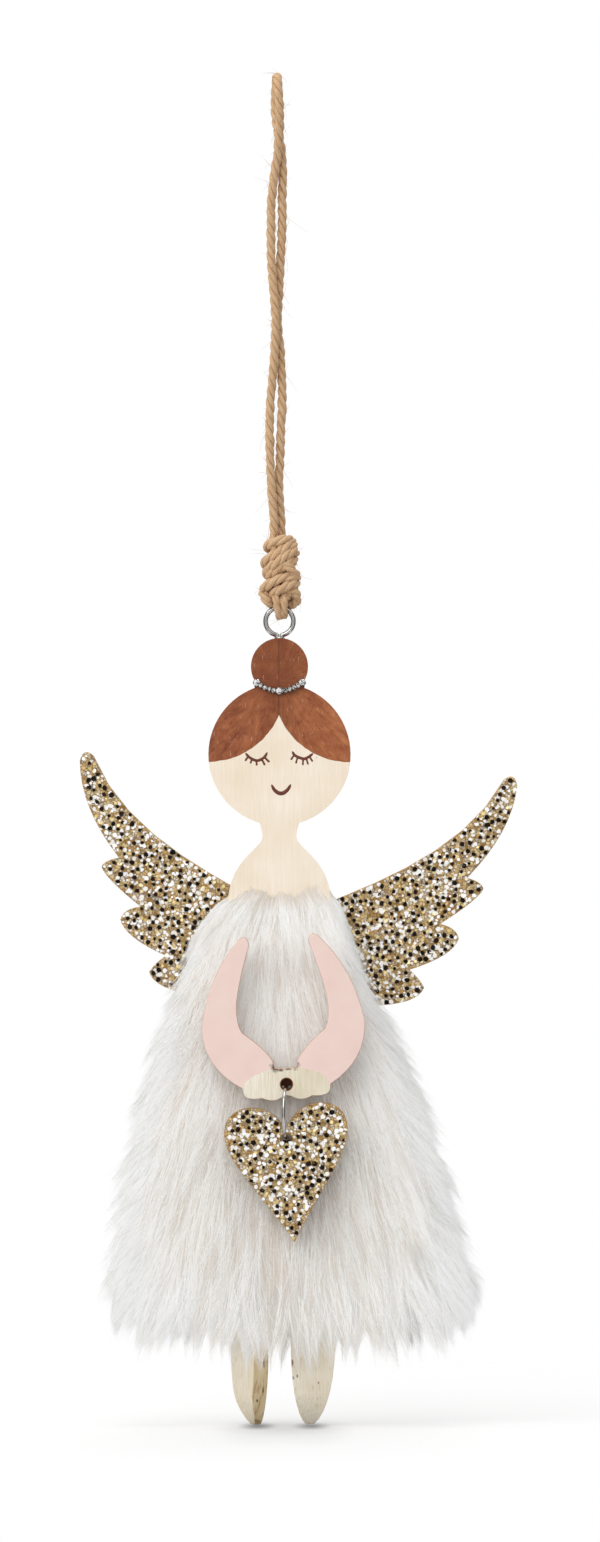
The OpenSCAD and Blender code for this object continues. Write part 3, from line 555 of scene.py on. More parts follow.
# face drawn with a fine brush in brown ink, slightly raised and glossy
brownInk = mottled("brownInk", 0.8, 3.0, "#4c1b0c", "#74351e", Roughness=0.45)[0]
faceLines = {"front": -2.5, "raised": 0.05, "under": 0.1, "broad": 1.14, "strokes": [
    ([(-9.5, -187.9), (-8.3, -189.2), (-6.3, -190.0), (-4.4, -189.2), (-3.4, -187.7)], 0.30, 0.36),
    ([(3.56, -187.4), (4.4, -188.6), (6.7, -189.5), (8.1, -189.0), (9.4, -188.0)], 0.30, 0.36),
    ([(-8.85, -189.0), (-9.25, -189.6), (-9.6, -190.1)], 0.26, 0.24),
    ([(-7.75, -189.7), (-7.95, -190.3), (-8.1, -190.8)], 0.26, 0.22),
    ([(-6.4, -190.0), (-6.4, -190.7), (-6.38, -191.4)], 0.28, 0.24),
    ([(-4.9, -189.8), (-4.5, -190.5), (-4.1, -191.3)], 0.28, 0.24),
    ([(-4.1, -189.1), (-3.5, -189.8), (-2.8, -190.4)], 0.28, 0.26),
    ([(4.0, -188.6), (3.6, -189.2), (3.2, -189.8)], 0.26, 0.24),
    ([(5.1, -189.2), (4.8, -190.0), (4.6, -190.8)], 0.26, 0.22),
    ([(6.6, -189.5), (6.57, -190.4), (6.55, -191.3)], 0.26, 0.22),
    ([(7.5, -189.4), (7.75, -190.2), (8.0, -191.1)], 0.26, 0.22),
    ([(8.5, -189.1), (8.9, -189.7), (9.25, -190.3)], 0.26, 0.24),
    ([(-2.24, -196.7), (-1.5, -198.1), (-0.5, -198.95), (0.45, -199.2), (1.4, -198.9), (2.4, -198.0),
      (3.19, -196.6)], 0.27, 0.5),
    ([(10.3, -189.2), (10.35, -189.15), (10.4, -189.2)], 0.12, 0.12)]}
parts = []
for points, thinHalf, fullHalf in faceLines["strokes"]:
    line = evenRoute(smoothRoute([(x, 0, z) for x, z in points], 10), 0.12)[0]
    s = np.linspace(0, 1, len(line))
    ends = np.clip(np.minimum(s, 1 - s) / 0.08, 0.25, 1) ** 0.5
    half = faceLines["broad"] * (thinHalf + (fullHalf - thinHalf) * np.sin(math.pi * s)) * ends
    heading = unit(np.gradient(line, axis=0))
    side = np.stack([-heading[:, 2], 0 * s, heading[:, 0]], 1)
    rows = []
    for aside, high in ((-1, 0), (-0.6, 0.7), (0, 1), (0.6, 0.7), (1, 0)):
        front = faceLines["front"] - high * faceLines["raised"]
        rows.append(line + side * half[:, None] * aside + np.array([0, front, 0]))
    rows.append(line + np.array([0, faceLines["front"] + faceLines["under"], 0]))
    parts.append((np.stack(rows, 1).reshape(-1, 3), cappedFaces(len(line), len(rows))))
addParts("faceLines", parts, [brownInk], "figure", "body_plywood")
print("face drawn")

# wings, heart: plywood cut by laser, its rim left brown
laserEdge = edgeMaterial("laserCutEdge", "#c9a265", "#a67d48", "#66452a", 0.13)[0]
birchBack, tree, shader = newMaterial("birchBack", Roughness=0.65)
place, wood, relief = woodGrain(tree, "#ecdcc0", "#dcc6a2", "#b8935f")
setInputs(shader, {"Base Color": wood, "Normal": relief})
dressedBoard("wing_panel", "wingBoard", "figure", [birchBack, laserEdge], bareFront=False)
dressedBoard("heart_board", "heartBoard", "heart", [birchBack, laserEdge], bareFront=False)

# glitter: cut foil in clear glue, a net of champagne chips with brown glue between, and larger flakes on top
glitter = {"spacing": 1.12, "dark": 0.4, "apart": 1.5, "silver": 0.34, "gold": 0.19, "thick": 0.06, "rim": 0.1,
           "chip": 0.95, "dust": 0.36, "lean": 0.15, "darkLift": 0.2, "holeLift": (0.28, 0.2, 0.1),
           "radius": [(0.32, 0.3), (0.36, 0.42), (0.48, 0.36)],
           "overHole": [(0.8, -296.5, 1), (2.0, -297.0, 0), (3.2, -296.5, 1), (1.3, -297.7, 0), (2.7, -297.7, 1),
                        (1.5, -296.1, 2), (2.6, -296.1, 2)]}
champagneChips, tree, shader = newMaterial("champagneChips", Metallic=0.35, Roughness=0.4)
place = addNode(tree, "ShaderNodeTexCoord").outputs["Object"]
chipSize, dustSize = 1 / (glitter["chip"] * mm), 1 / (glitter["dust"] * mm)
chips = addNode(tree, "ShaderNodeTexVoronoi", {"Vector": place, "Scale": chipSize})
gaps = addNode(tree, "ShaderNodeTexVoronoi", {"Vector": place, "Scale": chipSize}, feature="DISTANCE_TO_EDGE")
dust = addNode(tree, "ShaderNodeTexVoronoi", {"Vector": place, "Scale": dustSize})
cells = addNode(tree, "ShaderNodeSeparateColor", {0: chips.outputs["Color"]})
grains = addNode(tree, "ShaderNodeSeparateColor", {0: dust.outputs["Color"]})
gold = addNode(tree, "ShaderNodeMix", {0: cells.outputs[0], 6: "#a37a33", 7: "#f3e4ba"}, data_type="RGBA")
# painted highlights: some chips are painted near white, for the chips that catch the light
bright = addNode(tree, "ShaderNodeMath", {0: cells.outputs[1], 1: 0.66}, operation="GREATER_THAN")
chipsWithGlints = addNode(tree, "ShaderNodeMix", {0: bright, 6: gold, 7: "#f6f0e2"}, data_type="RGBA")
speck = addNode(tree, "ShaderNodeMapRange", {"Value": grains.outputs[0], "To Max": 0.5})
dusted = addNode(tree, "ShaderNodeMix", {0: speck, 6: chipsWithGlints, 7: "#a57c3a"}, data_type="RGBA")
seam = addNode(tree, "ShaderNodeMapRange", {"Value": gaps, "From Min": 0.03, "From Max": 0.16, "To Min": 0.85,
               "To Max": 0.0})
netted = addNode(tree, "ShaderNodeMix", {0: seam, 6: dusted, 7: "#6c4b20"}, data_type="RGBA")
# each chip lies at its own angle
tilt = addNode(tree, "ShaderNodeVectorMath", {0: chips.outputs["Color"], 1: (0.5, 0.5, 0.5)}, operation="SUBTRACT")
lean = addNode(tree, "ShaderNodeVectorMath", {0: tilt, "Scale": 0.8}, operation="SCALE")
shape = addNode(tree, "ShaderNodeNewGeometry")
facing = addNode(tree, "ShaderNodeVectorMath", {0: lean, 1: shape.outputs["Normal"]}, operation="ADD")
turned = addNode(tree, "ShaderNodeVectorMath", {0: facing}, operation="NORMALIZE")
setInputs(shader, {"Base Color": netted, "Normal": turned})


def flakeMaterial(name, one, two, metallic, roughness, shine=0.5):
    # cut foil, each flake in a tone of its own
    material, tree, shader = newMaterial(name, Metallic=metallic, Roughness=roughness, Specular_IOR_Level=shine)
    shape = addNode(tree, "ShaderNodeNewGeometry")
    tone = addNode(tree, "ShaderNodeMix", {0: shape.outputs["Random Per Island"], 6: one, 7: two}, data_type="RGBA")
    setInputs(shader, {"Base Color": tone})
    return material


goldFoil = flakeMaterial("goldFoil", "#8c6424", "#f8e2a2", 0.45, 0.35)
# painted highlights: the silver flakes are painted near white and not metallic, for their glint
silverGlintFoil = flakeMaterial("silverGlintFoil", "#f4f1ea", "#ffffff", 0.0, 0.35)
darkFoil = flakeMaterial("darkFoil", "#0d0804", "#231508", 0.0, 0.5, 0.1)


def glitterLayer(name, node, body):
    # the glued layer, a little inside the board's rim
    mesh, work = boardMesh(node, name)
    work.normal_update()
    moves = {}
    for vert in work.verts:
        walls = [f.normal for f in vert.link_faces if abs(f.normal.y) < 0.5]
        if walls:
            outward = sum(walls, Vector()).normalized()
            moves[vert] = outward * (-glitter["rim"] * mm / max(0.6, outward.dot(walls[0])))
    for vert, move in moves.items():
        vert.co += move
    bmesh.ops.triangulate(work, faces=work.faces)
    work.to_mesh(mesh)
    work.free()
    piece = finishPiece(mesh, name, [champagneChips], body, False)
    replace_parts(piece, node)
    return piece


def flakeRim(rng, spin, radius, low, high):
    turn = spin + np.arange(6) * math.pi / 3
    return np.stack([np.cos(turn), 0 * turn, np.sin(turn)], 1) * radius * rng.uniform(low, high, (6, 1))


def scatterFlakes(name, layer, body, seed, extra):
    rng = np.random.default_rng(seed)
    tree = BVHTree.FromPolygons([v.co for v in layer.data.vertices], [p.vertices for p in layer.data.polygons])
    points = np.array([v.co for v in layer.data.vertices]) / mm
    low, high = points.min(0), points.max(0)
    spacing, someDark, someSilver = glitter["spacing"], glitter["dark"], glitter["dark"] + glitter["silver"]
    flakes, darks = [], []
    for x in np.arange(low[0], high[0], spacing):
        for z in np.arange(low[2], high[2], spacing):
            at = np.array([x, 0, z]) + rng.uniform(-0.6, 0.6, 3) * spacing
            pick, size, spin = rng.uniform(size=3)
            leanX, leanZ, lift = rng.normal(0, glitter["lean"]), rng.normal(0, glitter["lean"]), rng.uniform(0.0, 0.14)
            kind = 2 if pick < someDark else 1 if pick < someSilver else 0
            if pick > someSilver + glitter["gold"]:
                continue
            if kind == 2:  # dark flakes lie singly, one too near another is pale
                near = any(math.hypot(at[0] - other[0], at[2] - other[2]) < glitter["apart"] for other in darks)
                kind = int(pick * 1000) % 2 if near else 2
                darks += [] if near else [at]
            least, more = glitter["radius"][kind]
            rim = flakeRim(rng, spin, least + more * size, 0.72, 1.12)
            rim[:, 1] = rim[:, 0] * leanX + rim[:, 2] * leanZ
            corners = [Vector(((at[0] + c[0]) * mm, low[1] * mm - 0.01, (at[2] + c[2]) * mm)) for c in rim]
            if sum(tree.ray_cast(c, Vector((0, 1, 0)))[0] is not None for c in corners) < 5:
                continue
            at[1] = low[1] - 0.04 - lift - (glitter["darkLift"] if kind == 2 else 0)
            flakes.append((at, rim, kind))
    for x, z, kind in extra:  # flakes that cling over the lower rim of a hole, the dark ones behind
        flakes.append((np.array([x, low[1] - glitter["holeLift"][kind], z]), flakeRim(rng, x * 7, 1, 0.55, 0.85), kind))
    plates = [(at + np.vstack([rim + (0, -glitter["thick"], 0), rim]), plateFaces(6)) for at, rim, kind in flakes]
    kinds = [kind for at, rim, kind in flakes for _ in plateFaces(6)]
    print(name, len(flakes), "flakes")
    return addParts(name, plates, [goldFoil, silverGlintFoil, darkFoil], body, "glitter", False, faceMaterials=kinds)


for name, node, body, seed in (("leftWing", "left_wing_glitter", "figure", 3),
                               ("rightWing", "right_wing_glitter", "figure", 4),
                               ("heart", "heart_glitter", "heart", 5)):
    layer = glitterLayer(name + "Glitter", node, body)
    scatterFlakes(name + "Flakes", layer, body, seed, glitter["overHole"] if name == "heart" else [])

# arms: birch with matt pink paint on the sleeves, bare hands
arms = {"hole": (2, 0, -280.1), "lean": 3.2, "hands": (11.9, 5.2), "handsDrop": 0.6,
        "burns": [(-1.2, -275.4, 1.7, 1.0), (4.4, -274.8, 1.5, 1.0), (0.3, -276.1, 1.2, 0.5), (2.4, -275.9, 1.2, 0.4)]}
sleevePaint, tree, shader = newMaterial("sleevePaint", Roughness=0.6)
place, wood, relief = woodGrain(tree, "#f3ede0", "#d6caae", "#b08b58", 0.66)
wobble = addNode(tree, "ShaderNodeTexNoise", {"Vector": place, "Scale": 1 / (1.8 * mm), "Detail": 2.0})
handsAt = (arms["hole"][0] * mm, 0, (arms["hole"][2] - arms["handsDrop"]) * mm)
hands = addNode(tree, "ShaderNodeMapping", {
    "Vector": place, "Location": handsAt, "Rotation": (0, math.radians(-arms["lean"]), 0),
    "Scale": (arms["hands"][0] * mm, 1, arms["hands"][1] * mm)}, vector_type="TEXTURE")
flat = addNode(tree, "ShaderNodeVectorMath", {0: hands, 1: (1, 0, 1)}, operation="MULTIPLY")
away = addNode(tree, "ShaderNodeVectorMath", {0: flat}, operation="LENGTH")
shaky = addNode(tree, "ShaderNodeMath", {0: wobble, 1: 0.1, 2: away}, operation="MULTIPLY_ADD")
outside = addNode(tree, "ShaderNodeMath", {0: shaky, 1: 1.05}, operation="GREATER_THAN")
parts = addNode(tree, "ShaderNodeSeparateXYZ", {0: hands})
over = addNode(tree, "ShaderNodeMath", {0: parts.outputs[2], 1: -0.02}, operation="GREATER_THAN")
painted = addNode(tree, "ShaderNodeMath", {0: outside, 1: over}, operation="MULTIPLY")
cloud = addNode(tree, "ShaderNodeTexNoise", {"Vector": place, "Scale": 1 / (6 * mm), "Detail": 4.0})
pink = addNode(tree, "ShaderNodeMix", {0: cloud, 6: "#e3c5bb", 7: "#efd8cf"}, data_type="RGBA")
pinkWorn = flecked(tree, place, pink, "#b98d7f", 0.7, (0.35, 1, 3.5), (0.75, 0.82), 0.35, detail=1.0)
sleeve = addNode(tree, "ShaderNodeMix", {0: painted, 6: wood, 7: pinkWorn}, data_type="RGBA")
setInputs(shader, {"Base Color": spotted(tree, place, sleeve, arms["burns"], "#43260f"), "Normal": relief})
armsEdge = edgeMaterial("armsEdge", "#d9bda4", "#c49c80", "#5f3a24", 0.12)[0]
dressedBoard("arms_board", "armsBoard", "figure", [sleevePaint, armsEdge], bevel=0.28)

# the hole for the ring: burnt all round, and closed at the back in its upper part by a dark plate, painted shade for
# the fur that lies in shadow behind the hole
burntHoleAndShade = newMaterial("burntHoleAndShade", Base_Color="#7c4a28", Roughness=0.7)[0]
hole = {"at": (2, -280.1), "radius": 1.82, "lip": 0.12, "front": -18.9, "back": -15.15, "inner": 1.45, "plate": 0.5,
        "plateThick": 0.15, "sides": 32, "plateSides": 20}


def holeRings(rows, turn):
    x, z = hole["at"]
    return np.array([(x + r * math.cos(a), y, z + r * math.sin(a)) for r, y in rows for a in turn])


rows = [(hole["radius"], hole["front"]), (hole["radius"] - hole["lip"], hole["front"]),
        (hole["inner"], hole["back"]), (hole["radius"], hole["back"])]
bush = holeRings(rows, np.arange(hole["sides"]) * math.pi / (hole["sides"] / 2))
# painted shade: the dark plate behind the hole
start = math.asin(-hole["plate"] / hole["inner"])
plate = holeRings([(hole["inner"], hole["back"] - hole["plateThick"]), (hole["inner"], hole["back"])],
                  np.linspace(start, math.pi - start, hole["plateSides"]))
parts = [(bush, ringFaces(len(rows), hole["sides"], True)), (plate, plateFaces(hole["plateSides"]))]
addParts("handHole", parts, [burntHoleAndShade], "figure", "arms_plywood", False)
print("arms painted")

# legs: bare birch, greyer from handling, scorched along the cut; the left leg's face is a darker copy of the same
# birch, painted shade
legs = {"grain": {"left": ("#e6decd", "#cfc3a9"), "right": ("#f0e9da", "#d8ccb3")},
        "toe": 9.0, "toeBack": 3.0, "toeCuts": 7,
        "burns": [(3.55, -358.6, 0.5, 3.0), (3.7, -362.7, 0.6, 1.2), (4.4, -369.8, 0.5, 2.4), (5.0, -362.1, 0.35, 2.0),
                  (10.9, -364.1, 0.3, 1.3), (-6.2, -369.0, 0.4, 1.5), (-5.6, -376.3, 1.1, 0.6),
                  (-4.3, -358.5, 0.45, 4.0), (-4.6, -366.0, 0.3, 5.0)]}
legFace = {}
# painted shade: the left leg's birch is given darker tones than the right's
for side, (light, dark) in legs["grain"].items():
    legFace[side], tree, shader = newMaterial(side + "HandledBirch", Roughness=0.6)
    place, wood, relief = woodGrain(tree, light, dark, "#a07a45", 0.63)
    setInputs(shader, {"Base Color": spotted(tree, place, wood, legs["burns"], "#7a4a20"), "Normal": relief})
legEdge, tree, shader, place, sawn = edgeMaterial("scorchedEdge", "#e8dab8", "#d3bd93", "#8a5f30", 0.08)
streaked = flecked(tree, place, sawn, "#94683a", 0, (0.8, 0.8, 7), (0.52, 0.68), 0.8, detail=4.0)
setInputs(shader, {"Base Color": spotted(tree, place, streaked, legs["burns"], "#4a2810")})
for side, node, body, turn in (("left", "left_leg", "left_leg", 57), ("right", "right_leg", "right_leg", 0)):
    toward = (math.sin(math.radians(turn)), math.cos(math.radians(turn)), 0)
    leg = dressedBoard(node, side + "Leg", body, [legFace[side], legEdge], facing=toward, bevel=0.35)
    work = bmesh.new()
    work.from_mesh(leg.data)
    low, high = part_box(node)
    cuts = legs["toeCuts"]
    for step in range(cuts):  # the toe is sanded back toward its tip
        level = Vector((0, 0, low.z + legs["toe"] * mm * (cuts - step) / (cuts + 0.5)))
        everything = work.verts[:] + work.edges[:] + work.faces[:]
        bmesh.ops.bisect_plane(work, geom=everything, plane_co=level, plane_no=(0, 0, 1))
    along = Vector(toward)
    front = min(v.co.dot(along) for v in work.verts)
    back = max(v.co.dot(along) for v in work.verts)
    for vert in work.verts:
        share = max(0, 1 - (vert.co.z - low.z) / (legs["toe"] * mm))
        vert.co += along * (legs["toeBack"] * mm * share ** 1.6 * (back - vert.co.dot(along)) / (back - front))
    work.to_mesh(leg.data)
    work.free()
print("legs cut")

# rhinestones: cut glass with a foiled back, in small pronged cups on a dark chain
foiledGlass, tree, shader = newMaterial("foiledGlass", Metallic=0.25, Roughness=0.05, IOR=1.7)
place = addNode(tree, "ShaderNodeTexCoord").outputs["Object"]
# painted reflections: the glass is painted in facet-sized cells, bright or dark, for the glints and dark reflections of
# the cut facets
facets = addNode(tree, "ShaderNodeTexVoronoi", {"Vector": place, "Scale": 1 / (0.42 * mm)})
cells = addNode(tree, "ShaderNodeSeparateColor", {0: facets.outputs["Color"]})
glintShare = addNode(tree, "ShaderNodeMapRange", {"Value": cells.outputs[0], "From Min": 0.22, "From Max": 0.5})
paintedGlints = addNode(tree, "ShaderNodeMix", {0: glintShare, 6: "#403d3a", 7: "#fafafa"}, data_type="RGBA")
setInputs(shader, {"Base Color": paintedGlints})
# the cups and chain are dark, mottled metal
cupSteel = mottled("darkCupChain", 0.5, 3.0, "#322e2a", "#9a9793", Metallic=1.0, Roughness=0.35)[0]
band = {"middle": -160.7, "radius": 9.8, "front": -2.5, "cup": 0.9, "stone": 0.9,
        "chain": 0.3, "chainEnd": 41, "links": 42,
        "stones": [(-40, 1.0), (0, 1.0), (40, 1.0)] + [(s * a, 0.65) for s in (-1, 1) for a in (10, 17.4, 24.8, 32.2)],
        "claw": [(0.05, 0.5, 0.14), (0.08, 1.0, 0.15), (-0.1, 1.25, 0.14), (-0.3, 1.35, 0.08)]}
cup = band["cup"]
gems, cups = [], []
for angle, radius in sorted(band["stones"]):
    a = math.radians(angle)
    middle = np.array([band["radius"] * math.sin(a), band["front"], band["middle"] - band["radius"] * math.cos(a)])
    octagon = np.arange(8) * math.pi / 4 + a
    levels = [(0.94, cup - 0.2, 0), (1.0, cup + 0.15, 0.4), (0.82, cup + 0.5, 0), (0.5, cup + band["stone"], 0.4)]
    verts = np.array([middle + (radius * share * math.cos(t + spin), -high, radius * share * math.sin(t + spin))
                      for share, high, spin in levels for t in octagon])
    faces = [tuple(range(8))[::-1], tuple(range(24, 32))]
    for one, two, three, four in ringFaces(4, 8):
        faces += [(one, two, four), (two, three, four)]
    gems.append((verts, faces))
    profile = [(radius * 0.7, 0.0), (radius + 0.06, 0.1), (radius + 0.1, cup), (radius + 0.04, cup + 0.12),
               (radius - 0.08, cup), (radius * 0.7, 0.2)]
    turn = np.arange(20) * math.pi / 10
    verts = np.array([middle + (r * math.cos(t), -h, r * math.sin(t)) for r, h in profile for t in turn])
    cups.append((verts, ringFaces(len(profile), len(turn), True)))
    for prong in np.arange(4) * math.pi / 2 + math.pi / 4 + a:
        out = np.array([math.cos(prong), 0, math.sin(prong)])
        claw = middle + np.array([out * (radius + aside) + (0, -high, 0) for aside, high, thick in band["claw"]])
        cups.append(tube(claw, [thick for aside, high, thick in band["claw"]], 6))
turn = np.radians(np.linspace(-band["chainEnd"], band["chainEnd"], band["links"]))
chain = np.stack([band["radius"] * np.sin(turn), np.full(len(turn), band["front"] - 0.25),
                  band["middle"] - band["radius"] * np.cos(turn)], 1)
cups.append(tube(chain, band["chain"] + 0.08 * np.sin(np.arange(len(turn)) * 1.9), 8))
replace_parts(addParts("rhinestones_cut", gems, [foiledGlass], "figure", "cut_glass", False), "rhinestones")
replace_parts(addParts("stoneCups_chain", cups, [cupSteel], "figure", "cup_metal"), "stone_cups")
print("rhinestones set")

# hot-melt glue: milky, waxy drops that spread between sleeve and pile
hotGlue = mottled("hotMeltGlue", 2, 2.0, "#e2d8c0", "#f3ecdc", Roughness=0.35, IOR=1.48)[0]
glue = {"sides": 24, "uneven": 0.12,
        "levels": [(-1.0, 0.86), (-0.8, 0.96), (-0.3, 0.9), (0.3, 0.88), (0.8, 0.97), (1.0, 0.82)]}
for side, node, seed in (("left", "left_glue_pad", 21), ("right", "right_glue_pad", 22)):
    sides, rows = glue["sides"], len(glue["levels"])
    uneven = 1 - glue["uneven"] * np.random.default_rng(seed).uniform(size=sides)
    low, high = (np.array(v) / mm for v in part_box(node))
    middle, reach = (low + high) / 2, (high - low) / 2
    verts = []
    for level, share in glue["levels"]:
        for k in range(sides):
            t = 2 * math.pi * k / sides
            wide, tall = reach[0] * share * uneven[k], reach[2] * share * uneven[k]
            verts.append(middle + (wide * math.cos(t), reach[1] * level, tall * math.sin(t)))
    faces = [(one, four, three, two) for one, two, three, four in ringFaces(rows, sides)]
    faces += [tuple(range(sides)), tuple(range(rows * sides - 1, rows * sides - sides - 1, -1))]
    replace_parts(addParts(side + "GlueDrop", [(verts, faces)], [hotGlue], "figure", "hot_glue"), node)

# fur: long acrylic pile on a knitted back, brushed down, off-white at the tip; the warm, darker colour toward the root
# is painted shade for the depth of the pile
furPile, tree, shader = newMaterial("acrylicPile", Roughness=0.6, Specular_IOR_Level=0.25, Sheen_Weight=0.3,
                                    Sheen_Roughness=0.5)
place = addNode(tree, "ShaderNodeUVMap", uv_map="OFBake")
parts = addNode(tree, "ShaderNodeSeparateXYZ", {0: place})
# painted shade: from the root along each strand, the darker root colour fades into the tuft's own tone
shade = addNode(tree, "ShaderNodeMapRange", {"Value": parts.outputs[1], "From Min": 0.03, "From Max": 0.4},
                interpolation_type="SMOOTHSTEP")
twice = addNode(tree, "ShaderNodeMath", {0: parts.outputs[0], 1: 2.0}, operation="MULTIPLY")
ownTone = addNode(tree, "ShaderNodeMath", {0: twice}, operation="FRACT")
# painted light: the sides and the hem are greyer and cooler, as the white surround lights them
edgeTone = addNode(tree, "ShaderNodeMath", {0: parts.outputs[0], 1: 0.5}, operation="GREATER_THAN")
tuftTone = addNode(tree, "ShaderNodeMapRange", {"Value": ownTone, "From Min": 0.15, "From Max": 0.6},
                   interpolation_type="SMOOTHSTEP")
low, high, rootShade = (addNode(tree, "ShaderNodeMix", {0: edgeTone, 6: warm, 7: grey}, data_type="RGBA")
                   for warm, grey in (("#dad3ca", "#d4d4d2"), ("#fafaf8", "#f6f7f7"), ("#dfd5ca", "#dcdad6")))
cool = addNode(tree, "ShaderNodeMix", {0: tuftTone, 6: low, 7: high}, data_type="RGBA")
warm = addNode(tree, "ShaderNodeMix", {0: shade, 6: rootShade, 7: cool}, data_type="RGBA")
setInputs(shader, {"Base Color": warm})
knitBack, tree, shader = newMaterial("knitBack", Roughness=0.9)
place = addNode(tree, "ShaderNodeTexCoord").outputs["Object"]
loops = addNode(tree, "ShaderNodeTexVoronoi", {"Vector": place, "Scale": 1 / (1.2 * mm)})
knit = addNode(tree, "ShaderNodeMix", {0: loops, 6: "#f0eae1", 7: "#ddd3c7"}, data_type="RGBA")
stitch = addNode(tree, "ShaderNodeBump", {"Height": loops, "Strength": 0.5, "Distance": 0.0004})
setInputs(shader, {"Base Color": knit, "Normal": stitch})

dress = {"top": -228.3, "tall": 118.0, "hemDrop": 9.0, "hemShift": 2.5, "topHalf": 16.5, "hemHalf": 54.0,
         "board": 2.5, "topPile": 4.5, "pile": 11.1, "hemPile": 13.8, "wingBack": 6.8,
         "sidePile": 4.6, "backShare": 0.74, "backTall": 0.94, "rows": 24, "turns": 72,
         "leftInset": [(-0.05, 2.8), (0.0, 2.6), (0.02, 1.8), (0.07, 0.8), (0.11, 0.4), (0.15, 0.6),
                       (0.21, 0.1), (0.27, -0.7), (0.72, -0.4), (0.84, 0.6), (0.95, 1.0), (1.05, 2.2)],
         "rightInset": [(-0.05, 2.0), (0.0, 1.9), (0.02, 2.6), (0.066, 4.6), (0.15, 4.6), (0.25, 4.4),
                        (0.3, 3.2), (0.386, 1.4), (0.45, 0.4), (0.55, -0.9), (0.8, -1.3), (0.88, -1.2),
                        (0.95, -1.6), (1.05, 0.8)],
         "hemLine": [(-1, 1.04), (-0.9, 1.045), (-0.8, 1.035), (-0.7, 1.02), (-0.5, 1.005), (-0.35, 0.999),
                     (-0.1, 1.014), (0.1, 1.014), (0.36, 1.0), (0.5, 1.02), (0.6, 1.03), (0.75, 1.028),
                     (0.88, 1.048), (1, 1.042)],
         "neckline": [(-17, -228.6), (-13.5, -226.8), (-9, -225.6), (-5, -226.3), (-2.3, -228.1), (-0.8, -227.3),
                      (1.2, -226.8), (3.0, -227.4), (4.7, -228.7), (7, -226.6), (10.5, -224.6), (13.5, -224.2),
                      (15.5, -225.5), (17, -228)]}
# the skirt's section, an oval with full corners, walked by its girth
circle = np.linspace(0, 2 * math.pi, 1441)
roundX, roundY = (np.sign(v) * np.abs(v) ** (2 / 3) for v in (np.cos(circle), np.sin(circle)))
girth = np.concatenate([[0], np.cumsum(np.hypot(np.diff(roundX * 40), np.diff(roundY * 13.6)))])


def roundAt(q):
    at = (q % 1) * girth[-1]
    return np.interp(at, girth, roundX), np.interp(at, girth, roundY)


def curve(name, at):
    return np.interp(at, *zip(*dress[name]))


def halfWide(t):
    return dress["topHalf"] + (dress["hemHalf"] - dress["topHalf"]) * np.clip(t, 0, None) ** 0.6


def halfDeep(t):
    fill = 1 - (1 - np.clip(t / 0.25, 0, 1)) ** 2
    flare = np.clip((t - 0.8) / 0.2, 0, 1.3) ** 1.5
    pile = dress["pile"]
    return dress["board"] + dress["topPile"] + (pile - dress["topPile"]) * fill + (dress["hemPile"] - pile) * flare


def onDress(t, q, depth):
    # a place at share t of the height, q of the way round, and depth from the knitted back (0) to the tips (1)
    x, y = roundAt(q)
    wide, deep = halfWide(t) - np.where(x < 0, curve("leftInset", t), curve("rightInset", t)), halfDeep(t)
    start = np.clip(t / 0.1, 0.05, 1)
    innerWide = wide - (1.0 + (dress["sidePile"] - 1) * np.clip(t / 0.3, 0, 1)) * start
    backing = dress["board"] + 0.1 + dress["backShare"] * (deep - dress["board"]) * start
    innerDeep = np.where(y < 0, backing, np.maximum(dress["wingBack"], backing))
    across = innerWide + (wide - innerWide) * depth
    forth = innerDeep + (np.maximum(deep, innerDeep + 0.3) - innerDeep) * depth
    down = dress["top"] - dress["tall"] * t - dress["hemDrop"] * np.clip(t, 0, None) ** 3 * (1 - x * x)
    return np.stack([dress["hemShift"] * t + x * across, y * forth, down], -1)


# knitted back of the fur, a closed skirt one millimetre thick
rows, turns = dress["rows"], dress["turns"]
levels = [np.full(turns, i / rows * dress["backTall"]) for i in range(rows + 1)]
verts = np.concatenate([onDress(level, np.arange(turns) / turns, depth) for depth in (0.0, -0.1) for level in levels])
count = (rows + 1) * turns
faces = []
for i in range(rows):
    for k in range(turns):
        a, b = i * turns + k, i * turns + (k + 1) % turns
        faces += [(a, a + turns, b + turns, b), (count + a, count + b, count + b + turns, count + a + turns)]
hem = rows * turns
for k in range(turns):
    m = (k + 1) % turns
    faces += [(k, m, count + m, count + k), (hem + m, hem + k, count + hem + k, count + hem + m)]
furBack = addParts("furBacking", [(verts, faces)], [knitBack], "figure", "fur_fabric")
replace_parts(furBack, "fur_dress")


def outlineOf(node, margin, step=0.5):
    # a test for points that lie over a board, seen from the front
    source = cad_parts[node]
    tree = BVHTree.FromPolygons([v.co for v in source.data.vertices], [p.vertices for p in source.data.polygons])
    low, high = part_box(node)
    x0, z0 = low.x / mm - margin, low.z / mm - margin
    nx, nz = (int(size / mm / step + 2 * margin / step) + 2 for size in (high.x - low.x, high.z - low.z))
    starts = [[Vector(((x0 + i * step) * mm, low.y - 0.01, (z0 + k * step) * mm)) for k in range(nz)]
              for i in range(nx)]
    mask = np.array([[tree.ray_cast(start, Vector((0, 1, 0)))[0] is not None for start in line] for line in starts])
    grow = int(round(margin / step))
    wide = mask.copy()
    for i in range(-grow, grow + 1):
        for k in range(-grow, grow + 1):
            if i * i + k * k <= grow * grow:
                wide |= np.roll(np.roll(mask, i, 0), k, 1)

    def inside(x, z):
        i, k = np.round((x - x0) / step).astype(int), np.round((z - z0) / step).astype(int)
        good = (i >= 0) & (i < nx) & (k >= 0) & (k < nz)
        return good & wide[np.clip(i, 0, nx - 1), np.clip(k, 0, nz - 1)]
    return inside


